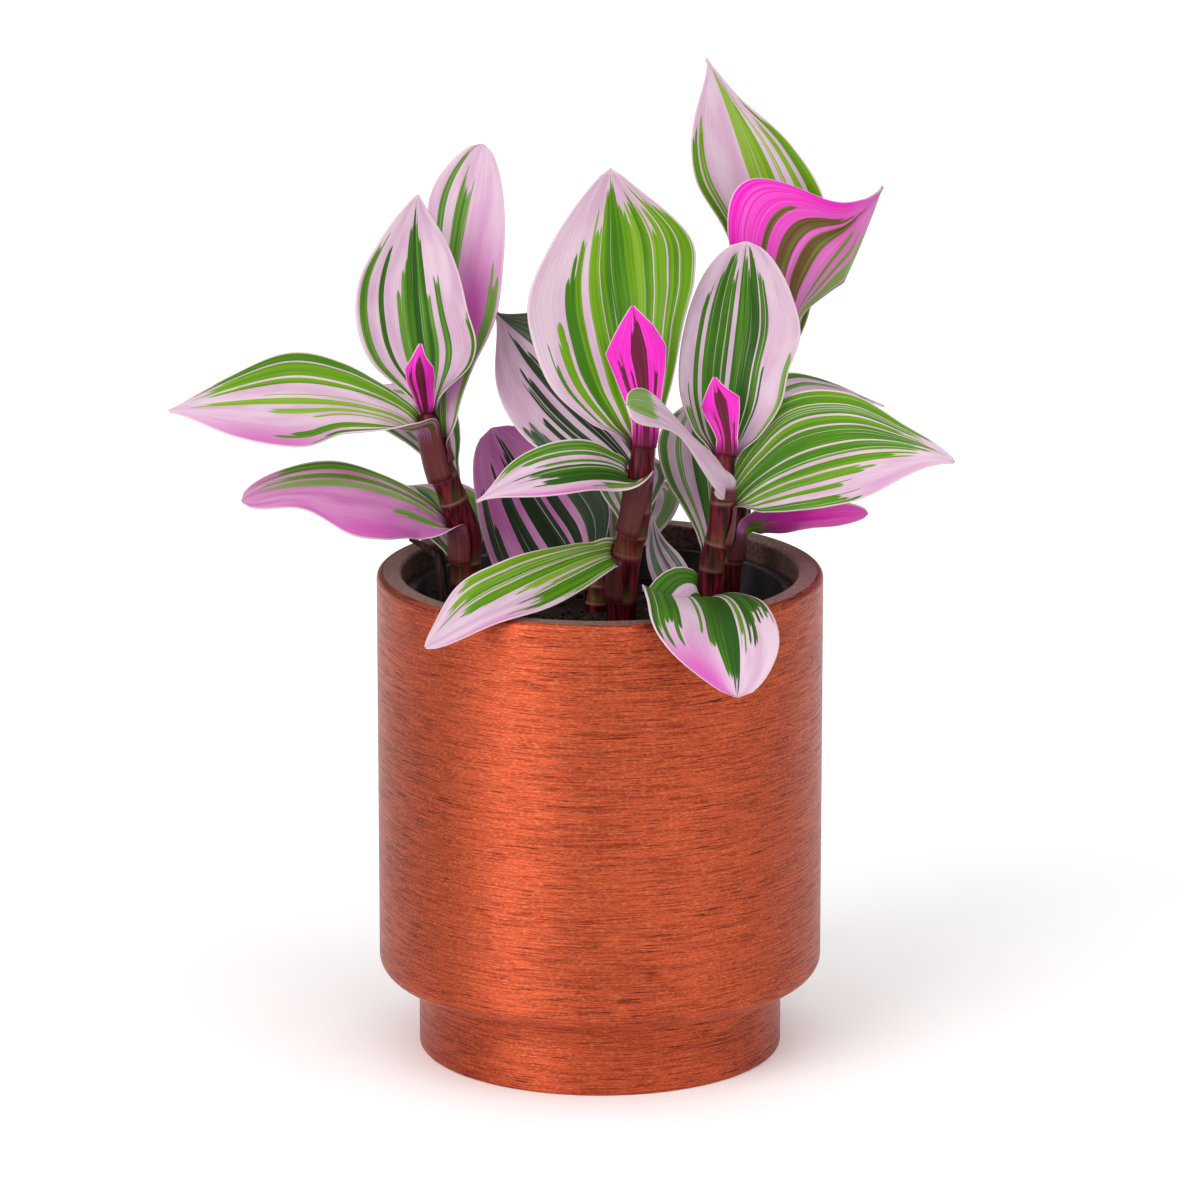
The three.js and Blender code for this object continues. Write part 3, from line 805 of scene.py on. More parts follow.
@dataclass(frozen=True)
class RimPaintedReflection:
    """The pot's flat rim and inner wall: a duller, greyer copy of the copper coat, which paints the
    darker reflection and shade that the same metal shows there.
    """

    # both colours are painted reflection and shade: the copper's greyer, darker look on the rim and
    # inside
    light: str = "b08a7e"
    dark: str = "866054"

    def material(self) -> bpy.types.Material:
        """Builds the finish.

        Returns:
            The finished material.
        """
        wiring = Wiring("rim_painted_reflection")
        speckle = wiring.grain((900.0, 900.0, 900.0), 3.0)
        clouds = wiring.grain((60.0, 60.0, 60.0))
        body = wiring.mix(wiring.between(speckle, 0.35, 0.65), linear(self.dark), linear(self.light))
        body = wiring.mix(wiring.between(clouds, 0.45, 0.7, 0.0, 0.4), body, linear(self.dark))
        wiring.bump(speckle, 0.25, 0.1)
        return wiring.finish(Base_Color=body, Metallic=0.35, Roughness=0.42)


@dataclass(frozen=True)
class MouldedPlastic:
    """Dark matt plastic of the grow pot, dusty in places."""

    dark: str = "1c1a19"
    dust: str = "3a3531"

    def material(self) -> bpy.types.Material:
        """Builds the finish.

        Returns:
            The finished material.
        """
        wiring = Wiring("moulded_plastic")
        dust = wiring.grain((220.0, 220.0, 220.0), 4.0)
        body = wiring.mix(wiring.between(dust, 0.45, 0.75), linear(self.dark), linear(self.dust))
        wiring.bump(dust, 0.2, 0.2)
        return wiring.finish(Base_Color=body, Roughness=wiring.between(dust, 0.3, 0.7, 0.4, 0.65))


@dataclass(frozen=True)
class BarkMix:
    """Potting mix: dark crumbs with lighter fibres."""

    dark: str = "17100e"
    brown: str = "3b2a22"
    fibre: str = "6e5442"

    def material(self) -> bpy.types.Material:
        """Builds the finish.

        Returns:
            The finished material.
        """
        wiring = Wiring("bark_mix")
        crumbs = wiring.grain((650.0, 650.0, 650.0), 5.0)
        fibres = wiring.grain((260.0, 260.0, 260.0), 3.0)
        body = wiring.mix(wiring.between(crumbs, 0.35, 0.65), linear(self.dark), linear(self.brown))
        body = wiring.mix(wiring.between(fibres, 0.62, 0.72, 0.0, 0.8), body, linear(self.fibre))
        wiring.bump(crumbs, 0.8, 0.8)
        return wiring.finish(Base_Color=body, Roughness=0.9, Specular_IOR_Level=0.2)


@dataclass(frozen=True)
class DriedSkin:
    """Dry brown skin with long wrinkles."""

    dark: str = "2a1614"
    light: str = "5d3c33"

    def material(self) -> bpy.types.Material:
        """Builds the finish.

        Returns:
            The finished material.
        """
        wiring = Wiring("dried_skin")
        wrinkles = wiring.grain((1100.0, 1100.0, 140.0), 4.0)
        body = wiring.mix(wiring.between(wrinkles, 0.35, 0.65), linear(self.dark), linear(self.light))
        wiring.bump(wrinkles, 0.7, 0.3)
        return wiring.finish(Base_Color=body, Roughness=0.8)


@dataclass(frozen=True)
class PaleFloor:
    """Plain pale studio floor."""

    pale: str = "fbfafa"

    def material(self) -> bpy.types.Material:
        """Builds the finish."""
        body = linear(self.pale, 1.0)
        return Wiring("pale_floor").finish(Base_Color=body, Roughness=0.6, Specular_IOR_Level=0.1)


# ---------------------------------------------------------------- stems


@dataclass
class Stem:
    """A tapered stem along a smooth centre line, with a faint swelling at each node."""

    name: str
    points: list[Point]
    radii: list[float]
    nodes: list[float] = field(default_factory=list)
    sides: int = 28
    steps: int = 110
    swelling: float = 0.18
    swelling_reach: float = 1.6
    ring_strength: float = 0.65
    ring_reach: float = 0.32
    olive_strength: float = 0.6
    olive_reach: float = 3.5
    far: float = 99.0

    def at(self, share: float) -> tuple[np.ndarray, np.ndarray, float]:
        """Looks the stem up at a share of its length.

        Args:
            share: Place along the stem, from 0 at its foot to 1 at its top.

        Returns:
            Centre, direction and radius there.
        """
        step = 1e-3
        ahead = through(self.points, min(share + step, 1.0))
        behind = through(self.points, max(share - step, 0.0))
        return through(self.points, share), unit(ahead - behind), float(through(self.radii, share))

    def at_height(self, height: float) -> tuple[np.ndarray, np.ndarray, float]:
        """Looks the stem up at a height.

        Args:
            height: The height in millimetres.

        Returns:
            Centre, direction and radius there.
        """
        low, high = 0.0, 1.0
        for _ in range(HALVINGS):
            middle = (low + high) / 2
            if through(self.points, middle)[2] < height:
                low = middle
            else:
                high = middle
        return self.at(low)

    def build(self, node: str, slot: Slot, finish: bpy.types.Material) -> None:
        """Makes the stem's mesh.

        Args:
            node: The CAD node that it stands for.
            slot: The material slot that it stands in.
            finish: The stem's material.
        """
        vertices, rings, olives = [], [], []
        for step in range(self.steps + 1):
            centre, along, radius = self.at(step / self.steps)
            first = square_to(along, np.array([1.0, 0.0, 0.0]))
            second = np.cross(along, first)
            nearest = min((abs(centre[2] - z) for z in self.nodes), default=self.far)
            above = min((centre[2] - z for z in self.nodes if centre[2] > z), default=self.far)
            radius += self.swelling * math.exp(-((nearest / self.swelling_reach) ** 2))
            ring = self.ring_strength * math.exp(-((nearest / self.ring_reach) ** 2))
            olive = self.olive_strength * math.exp(-((above / self.olive_reach) ** 2))
            rings += [ring] * self.sides
            olives += [olive] * self.sides
            for side in range(self.sides):
                x, y = on_circle(radius, side, self.sides)
                vertices.append(centre + x * first + y * second)
        faces = ring_faces(self.steps + 1, self.sides)
        last = self.steps * self.sides
        faces.append(tuple(reversed(range(self.sides))))
        faces.append(tuple(range(last, last + self.sides)))
        fields = {"ring": np.array(rings), "node": np.array(olives)}
        settle(mesh_object(self.name, np.array(vertices) * MM, faces, fields), node, slot, finish)


# ---------------------------------------------------------------- leaves


@dataclass
class Leaf:
    """A blade bent from a grid, with a sheath that wraps its stem.

    The sizes say the same as in the solid model: the midrib is a cubic curve from the node,
    left and right are half widths at five even steps, and the section turns from the stem's
    round at the mouth to the blade's own cup.
    """

    name: str
    stem: str
    node: float
    heading: float
    bend: Point
    tip: Point
    faces: Point
    left: list[float]
    right: list[float]
    skin: BladeSkin
    slot: Slot = Slot.PINK
    sheath: float = 6.0
    rise: float = 12.0
    blunt: float = 0.5
    cup: EachSide = 20.0
    fold: EachSide = 0.0
    clasp: EachSide = 0.17
    grip: EachSide = 60.0
    wrap: float = 80.0
    kite: bool = False
    host: Stem | None = None
    rows: int = 64
    columns: int = 24
    sheath_rows: int = 8
    sheath_share: float = 0.15
    thickness: float = 0.7
    margin_thickness: float = 0.35
    gap: float = 0.3
    solid_thickness: float = 0.75
    straight_share: float = 0.2
    narrowest: float = 0.5
    tip_roundness: int = 8
    ripple: float = 0.35
    ripple_turns: float = 2.3
    ripple_shift: tuple[float, float] = (0.31, 0.17)
    ripple_end: float = 0.25
    groove: float = 0.4
    groove_width: float = 1.1

    def clear_of(self, radius: float) -> float:
        """Distance of the sheath's middle from the centre of a stem."""
        return radius + self.gap + self.solid_thickness / 2

    def out(self, up: np.ndarray) -> np.ndarray:
        """The side of the stem that the blade leaves from."""
        angle = math.radians(self.heading)
        return square_to(up, np.array([math.cos(angle), math.sin(angle), 0.0]))

    @cached_property
    def mouth(self) -> tuple[np.ndarray, np.ndarray, float]:
        """The sheath's mouth, where the blade starts.

        Returns:
            Base point, outward direction and radius.
        """
        centre, up, radius = self.host.at_height(self.node)
        out = self.out(up)
        return centre + out * self.clear_of(radius), out, self.clear_of(radius)

    @cached_property
    def midrib(self) -> list[np.ndarray]:
        """The midrib's cubic curve.

        Returns:
            Its four control points.
        """
        base = self.mouth[0]
        up = self.host.at_height(self.node)[1]
        return [base, base + up * self.rise, np.array(self.bend, float), np.array(self.tip, float)]

    def frame_at(self, share: float) -> tuple[np.ndarray, np.ndarray, np.ndarray]:
        """Finds the midrib and the way that the blade faces.

        Args:
            share: Place along the blade, from 0 at the mouth to 1 at the tip.

        Returns:
            Midrib point, direction out of the upper face, and direction to the right.
        """
        base, rise, bend, tip = self.midrib
        rest = 1 - share
        point = base * rest**3 + 3 * rise * rest**2 * share + 3 * bend * rest * share**2 + tip * share**3
        slope = (rise - base) * rest**2 + 2 * (bend - rise) * rest * share + (tip - bend) * share**2
        along = unit(slope)
        held = 1 - ease(share / self.straight_share)
        face = square_to(along, unit(np.array(self.faces, float)) * (1 - held) - self.mouth[1] * held)
        return point, face, np.cross(along, face)

    def width_at(self, widths: list[float], share: float) -> float:
        """Half width of the blade, with a round tip or a bud's straight sides.

        Args:
            widths: Half widths at even steps from the mouth to the tip.
            share: Place along the blade.

        Returns:
            The half width in millimetres.
        """
        if self.kite:
            return max(float(np.interp(share, np.linspace(0, 1, len(widths)), widths)), self.narrowest)
        rounding = math.sqrt(max(1 - share**self.tip_roundness, 0.0))
        return max(float(through(widths, share)) * rounding, self.narrowest)

    def blade_row(
        self, share: float, side: int, parts: np.ndarray
    ) -> tuple[np.ndarray, np.ndarray, np.ndarray]:
        """One side of one row of the blade.

        Args:
            share: Place along the blade, from 0 at the mouth to 1 at the tip.
            side: 0 for the left half and 1 for the right half.
            parts: Shares of the half width, from 0 at the midrib to 1 at the margin.

        Returns:
            Points, normals and distances from the midrib.
        """
        point, face, right = self.frame_at(share)
        reach = self.mouth[2]
        hand = -1 if side == 0 else 1
        widths = self.left if side == 0 else self.right
        at_mouth = reach * math.radians(both(self.grip)[side])
        width = self.width_at([at_mouth, *widths, self.blunt], share)
        clasping = 1 - ease(share / both(self.clasp)[side])
        cupping = (1 - clasping) * math.radians(both(self.cup)[side]) / max(widths)
        curvature = clasping / reach + cupping
        start = math.radians(both(self.fold)[side]) * (1 - clasping)
        distance = width * parts
        end = start + curvature * distance
        aside = (np.sin(end) - math.sin(start)) / curvature
        raised = (math.cos(start) - np.cos(end)) / curvature
        for_side, for_name = self.ripple_shift
        turns = self.ripple_turns * share + for_side * side + for_name * len(self.name)
        wave = math.sin(2 * math.pi * turns)
        spread = (1 - clasping) * ease((1 - share) / self.ripple_end)
        raised = raised + self.ripple * wave * spread * parts**3
        raised = raised - self.groove * spread * np.exp(-((distance / self.groove_width) ** 2))
        points = point + np.outer(hand * aside, right) + np.outer(raised, face)
        normals = np.outer(np.cos(end), face) - np.outer(hand * np.sin(end), right)
        return points, normals, distance

    def sheath_row(
        self, share: float, side: int, parts: np.ndarray
    ) -> tuple[np.ndarray, np.ndarray, np.ndarray]:
        """One side of one row of the sheath.

        Args:
            share: Place along the sheath, from 0 at its foot to 1 at its mouth.
            side: 0 for the left half and 1 for the right half.
            parts: Shares of the way round, from 0 at the midrib to 1 at the margin.

        Returns:
            Points, normals and distances from the midrib.
        """
        centre, up, radius = self.host.at_height(self.node - self.sheath * (1 - share))
        out = self.out(up)
        right = -np.cross(up, out)
        hand = -1 if side == 0 else 1
        blend = float(ease(share))
        arc = self.wrap * (1 - blend) + both(self.grip)[side] * blend
        angle = math.radians(arc) * parts
        normals = -np.outer(np.cos(angle), out) - np.outer(hand * np.sin(angle), right)
        return centre - normals * self.clear_of(radius), normals, self.clear_of(radius) * angle

    def grid(
        self, shares: list[float], parts: np.ndarray
    ) -> tuple[np.ndarray, np.ndarray, np.ndarray]:
        """Lays out the leaf's middle surface, row by row from left to right.

        Args:
            shares: Place of each row, below 0 on the sheath.
            parts: Shares of the half width, from 0 at the midrib to 1 at the margin.

        Returns:
            Points, normals and distances from the margin.
        """
        rows = []
        for share in shares:
            if share < 0:
                left, right = (
                    self.sheath_row(1 + share / self.sheath_share, side, parts) for side in (0, 1)
                )
            else:
                left, right = (self.blade_row(share, side, parts) for side in (0, 1))
            rims = [half[2][-1] - half[2] for half in (left, right)]
            halves = zip((*left[:2], rims[0]), (*right[:2], rims[1]))
            rows.append([np.concatenate([from_left[:0:-1], to_right]) for from_left, to_right in halves])
        points, normals, rim = (np.concatenate(column) for column in zip(*rows))
        return points, normals, rim

    def build(self) -> None:
        """Makes the leaf's closed mesh: two faces and a margin all round."""
        sheath = [(row / self.sheath_rows - 1) * self.sheath_share for row in range(self.sheath_rows)]
        shares = sheath if self.sheath else []
        shares = shares + [row / self.rows for row in range(self.rows + 1)]
        parts = np.linspace(0, 1, self.columns + 1)
        points, normals, rim = self.grid(shares, parts)
        one_row = np.concatenate([-parts[:0:-1], parts])
        across = np.tile(one_row, len(shares))
        along = np.repeat(shares, len(one_row))
        thick = self.thickness + (self.margin_thickness - self.thickness) * np.abs(across) ** 3
        half = normals * (thick / 2)[:, None]
        vertices = np.concatenate([points + half, points - half]) * MM
        blush = self.skin.blush(along, across)
        fields = {"along": along, "across": across, "rim": rim, "blush": blush}
        fields = {key: np.tile(values, 2) for key, values in fields.items()}
        fields["under"] = np.repeat([0.0, 1.0], len(points))
        faces = self.grid_faces(len(shares), len(one_row), len(points))
        piece = self.name.replace("leaf_", "blade_").replace("bud_", "furled_")
        made = mesh_object(piece, vertices, faces, fields)
        settle(made, self.name, self.slot, self.skin.material(self.name))

    @staticmethod
    def grid_faces(rows: int, columns: int, below: int) -> list[Face]:
        """Faces of a closed blade over a grid.

        Args:
            rows: Number of rows of points.
            columns: Number of points in a row.
            below: How much higher a lower face's corner numbers are.

        Returns:
            Corner numbers of each face.
        """
        faces: list[Face] = []
        for row in range(rows - 1):
            for column in range(columns - 1):
                a = row * columns + column
                b, c, d = a + 1, a + columns + 1, a + columns
                faces.append((a, b, c, d))
                faces.append((a + below, d + below, c + below, b + below))
        last = (rows - 1) * columns
        walls = [(row, row + columns) for row in range(0, last, columns)]
        walls += [(row + 2 * columns - 1, row + columns - 1) for row in range(0, last, columns)]
        walls += [(column + 1, column) for column in range(columns - 1)]
        walls += [(last + column, last + column + 1) for column in range(columns - 1)]
        faces += [(a, b, b + below, a + below) for a, b in walls]
        return faces


# ---------------------------------------------------------------- pot, grow pot, soil and stalk


@dataclass
class Planter:
    """The outer pot: a turned body with a flat rim and a narrower foot."""

    radius: float = 63.0
    height: float = 139.0
    wall: float = 7.0
    floor: float = 8.0
    rim_edge: float = 1.8
    inner_edge: float = 1.0
    step_height: float = 22.0
    step_edge: float = 5.0
    foot_radius: float = 51.7
    foot_edge: float = 1.0
    foot_hollow: float = 44.5
    crease: float = 0.1
    edge_hold: float = 0.4
    sides: int = 256

    def profile(self) -> Profile:
        """Lays out the pot's section.

        Returns:
            Radii and heights from the foot, up the outside and down the inside.
        """
        inner = self.radius - self.wall
        ledge = self.step_height + self.wall
        step_top = self.step_height + self.step_edge
        rim = (self.radius - self.rim_edge, self.height - self.rim_edge)
        rim_inside = (inner + self.inner_edge, self.height - self.inner_edge)
        foot = (self.foot_radius - self.foot_edge, self.foot_edge)
        outline = [(0.0, 0.0), (self.foot_radius * 0.5, 0.0)]
        outline += rounded(foot, self.foot_edge, -90, 0, 4)
        outline += [(self.foot_radius, self.step_height * 0.5)]
        outline += [(self.foot_radius, self.step_height - self.crease)]
        outline += [(self.foot_radius + self.crease, self.step_height)]
        outline += rounded((self.radius - self.step_edge, step_top), self.step_edge, -90, 0, 12)
        outline += [(self.radius, step_top + 1.0), (self.radius, self.height * 0.6)]
        outline += [(self.radius, rim[1] - 0.6)]
        outline += rounded(rim, self.rim_edge, 0, 90, 8)
        outline += [(rim[0] - self.edge_hold, self.height)]
        outline += [(rim_inside[0] + self.edge_hold, self.height)]
        outline += rounded(rim_inside, self.inner_edge, 90, 180, 5)
        outline += [(inner, self.height - 3), (inner, ledge), (self.foot_hollow, ledge)]
        outline += [(self.foot_hollow, self.floor), (0.0, self.floor)]
        return outline

    def build(self, coat: bpy.types.Material, rim: bpy.types.Material) -> None:
        """Makes the pot.

        Args:
            coat: Finish of the outside.
            rim: Finish of the flat rim and the inside, a copy of the coat with painted reflection and
                shade.
        """
        pot = lathe("planter", self.profile(), self.sides)
        settle(pot, "pot", Slot.COPPER, coat, rim)
        rim_limit = (self.radius - self.rim_edge) * MM
        inside_limit = (self.foot_hollow + self.crease) * MM
        ledge = (self.step_height + self.wall - self.crease) * MM
        floor = (self.floor - self.crease) * MM
        # the rim's top, the inner wall and the foot's hollow take the copy of the coat with painted
        # reflection and shade
        for polygon in pot.data.polygons:
            reach, height = polygon.center.xy.length, polygon.center.z
            on_rim = reach < rim_limit and height > ledge
            in_foot = reach < inside_limit and height > floor
            if on_rim or in_foot:
                polygon.material_index = 1


@dataclass
class GrowPot:
    """The thin dark pot that the plant grows in, with a lip that shows inside the rim."""

    top: float = 133.0
    radius: float = 53.0
    base_radius: float = 41.0
    wall: float = 1.2
    lip: float = 2.4
    lip_height: float = 3.0
    lip_edge: float = 0.8
    lip_crease: float = 0.4
    inner_edge: float = 0.5
    foot: float = 8.3
    sides: int = 160

    def build(self, finish: bpy.types.Material) -> None:
        """Makes the grow pot with a rounded lip.

        Args:
            finish: The grow pot's material.
        """
        lip_radius = self.radius + self.lip
        lip_foot = self.top - self.lip_height
        inner = self.radius - self.wall
        floor = self.foot + self.wall
        outline = [(0.0, self.foot), (self.base_radius, self.foot)]
        outline += [(self.radius, lip_foot - self.lip_crease), (self.radius + self.lip_crease, lip_foot)]
        outline += [(lip_radius - 0.2, lip_foot)]
        edge = (lip_radius - self.lip_edge, self.top - self.lip_edge)
        outline += rounded(edge, self.lip_edge, 0, 90, 4)
        outline += [(inner + self.inner_edge, self.top), (inner, self.top - self.inner_edge)]
        outline += [(self.base_radius - self.wall, floor), (0.0, floor)]
        settle(lathe("inner_grow_pot", outline, self.sides), "grow_pot", Slot.PLASTIC, finish)


@dataclass
class Soil:
    """Potting mix with a rough top and loose crumbs on it."""

    top: float = 123.6
    foot: float = 9.8
    base_radius: float = 39.5
    top_radius: float = 50.1
    lump: float = 0.9
    grit: float = 0.35
    grain: float = 0.22
    rings: int = 90
    sides: int = 180
    crumbs: int = 420
    crumb_lift: float = 0.3
    smallest: float = 0.5
    largest: float = 1.5
    seed: int = 7

    def level(self, x: float, y: float) -> float:
        """Height of the top, with the solid model's lumps and finer ones.

        Args:
            x: Place across, in millimetres.
            y: Place in depth.

        Returns:
            The height in millimetres.
        """
        broad = math.sin(0.21 * x + 0.8) * math.cos(0.17 * y - 0.4)
        fine = math.sin(0.47 * x - 0.33 * y + 2.1) * math.cos(0.41 * y + 0.19 * x)
        grit = math.sin(2.3 * x + 1.1 * y) * math.cos(1.9 * y - 1.3 * x + 0.5)
        grain = math.sin(5.1 * x - 2.7 * y + 1.7) * math.cos(4.3 * y + 3.1 * x)
        return self.top + self.lump * (0.5 * broad + 0.5 * fine) + self.grit * grit + self.grain * grain

    def build(self, finish: bpy.types.Material) -> None:
        """Makes the block of soil and its crumbs as one piece.

        Args:
            finish: The soil's material.
        """
        draw = random.Random(self.seed)
        vertices = [(0.0, 0.0, self.foot), (0.0, 0.0, self.level(0.0, 0.0))]
        for side in range(self.sides):
            vertices.append((*on_circle(self.base_radius, side, self.sides), self.foot))
        for ring in range(self.rings):
            for side in range(self.sides):
                x, y = on_circle(self.top_radius * (1 - ring / self.rings), side, self.sides)
                vertices.append((x, y, self.level(x, y)))
        faces = turned_faces(self.rings + 1, self.sides)
        for _ in range(self.crumbs):
            distance = self.top_radius * math.sqrt(draw.random()) * 0.97
            angle = draw.uniform(0, 2 * math.pi)
            centre = Vector((distance * math.cos(angle), distance * math.sin(angle), 0.0))
            centre.z = self.level(centre.x, centre.y) + self.crumb_lift
            self.add_crumb(vertices, faces, centre, draw)
        settle(mesh_object("bark_soil", np.array(vertices) * MM, faces), "soil", Slot.SOIL, finish)

    def add_crumb(
        self, vertices: list[Point], faces: list[Face], centre: Vector, draw: random.Random
    ) -> None:
        """Adds one angular crumb, half sunk in the soil.

        Args:
            vertices: The soil's corners, which grow.
            faces: The soil's faces, which grow.
            centre: The crumb's place in millimetres.
            draw: The seeded source of its size and turn.
        """
        size = draw.uniform(self.smallest, self.largest)
        reach = Vector((size * draw.uniform(0.8, 2.0), size * draw.uniform(0.6, 1.1), size * 0.6))
        turn = draw.uniform(0, 2 * math.pi)
        first = len(vertices)
        for corner in ((1, 0, 0), (-1, 0, 0), (0, 1, 0), (0, -1, 0), (0, 0, 1), (0, 0, -1)):
            x, y, z = (c * r * draw.uniform(0.75, 1.15) for c, r in zip(corner, reach))
            across = x * math.cos(turn) - y * math.sin(turn)
            deep = x * math.sin(turn) + y * math.cos(turn)
            vertices.append((centre.x + across, centre.y + deep, centre.z + z))
        for a, b in ((0, 2), (2, 1), (1, 3), (3, 0)):
            faces.append((first + a, first + b, first + 4))
            faces.append((first + b, first + a, first + 5))


@dataclass
class DriedStalk:
    """A dead forked stalk beside the left stem."""

    stalk: Stem = field(
        default_factory=lambda: Stem(
            "dead_stalk",
            [(-43.5, 15, 114), (-44.5, 15.5, 126), (-45.6, 16, 137), (-47.5, 16, 140), (-54, 16, 144)],
            [1.8, 1.8, 1.5, 1.2, 0.7],
            sides=16,
            steps=60,
        )
    )
    shoot: Stem = field(
        default_factory=lambda: Stem(
            "dead_shoot",
            [(-44.6, 15.6, 127), (-46, 15.4, 128.8), (-48, 15.2, 129.4)],
            [1.0, 0.9, 0.6],
            sides=12,
            steps=20,
        )
    )

    def build(self, finish: bpy.types.Material) -> None:
        """Makes the stalk, and the side shoot that leaves it at the fork."""
        self.stalk.build("dried_stalk", Slot.DRIED, finish)
        self.shoot.build("dried_stalk", Slot.DRIED, finish)


# ---------------------------------------------------------------- the plant's own tables


def stems() -> dict[str, Stem]:
    """Makes the five leafy stems, with the heights of their nodes.

    Returns:
        The stems by their names.
    """
    made = [
        Stem(
            "left",
            [(-37.5, 6, 112), (-38, 6, 137), (-38, 6, 148), (-41, 5, 157), (-45, 4, 168), (-48, 3.5, 180),
             (-48.5, 3.4, 184.8)],
            [4.3, 4.3, 4.3, 4.0, 3.7, 2.7, 1.2],
            [134, 140, 158, 165],
        ),
        Stem(
            "middle",
            [(5, -12, 112), (7, -13, 143), (10, -14, 157), (11.5, -14, 171), (12.5, -13, 184),
             (12.5, -12.5, 198)],
            [4.2, 4.1, 3.9, 3.6, 2.6, 1.2],
            [134, 147, 153, 160],
        ),
        Stem(
            "right",
            [(28, -8, 112), (31, -9, 140), (33.5, -9, 153), (34.5, -8, 167), (35.5, -6, 180),
             (35.5, -5.5, 190)],
            [3.3, 3.3, 3.4, 3.1, 2.3, 1.0],
            [129, 142, 149, 160.5],
        ),
        Stem(
            "back_right",
            [(36, 18, 112), (37, 19, 137), (41, 22, 160), (48, 25, 185), (54, 28, 202), (56, 29, 212)],
            [3.6, 3.4, 3.0, 2.8, 2.4, 1.0],
            [137, 149, 168, 191],
        ),
        Stem("back", [(-2, 12, 112), (-1, 13, 126), (0, 14, 140)], [3.2, 3.0, 1.8], [126, 131]),
    ]
    return {stem.name: stem for stem in made}


PLAIN_ROWS = (
    (-0.96, -0.78, 0.84, 0.5), (-0.58, -0.44, 0.86, 0.3), (-0.20, 0.16, 0.97, 0.7),
    (0.18, 0.26, 0.90, 0.2), (0.46, 0.58, 0.82, 0.35), (0.76, 0.96, 0.80, 0.65),
)
BROAD_ROWS = (
    (-0.98, -0.66, 0.82, 0.65), (-0.50, -0.38, 0.88, 0.2), (-0.28, -0.06, 0.97, 0.8),
    (-0.04, 0.14, 0.93, 0.3), (0.32, 0.44, 0.84, 0.5), (0.62, 0.92, 0.76, 0.3),
)
BUD_LOOKS = {"glows": (Glow(0.0, 0.5, 9.0, 9.0, 1.0),), "necks": Necks.BUD}
BUD_FORM = {"slot": Slot.MAGENTA, "sheath": 0, "kite": True, "rows": 36, "columns": 14}


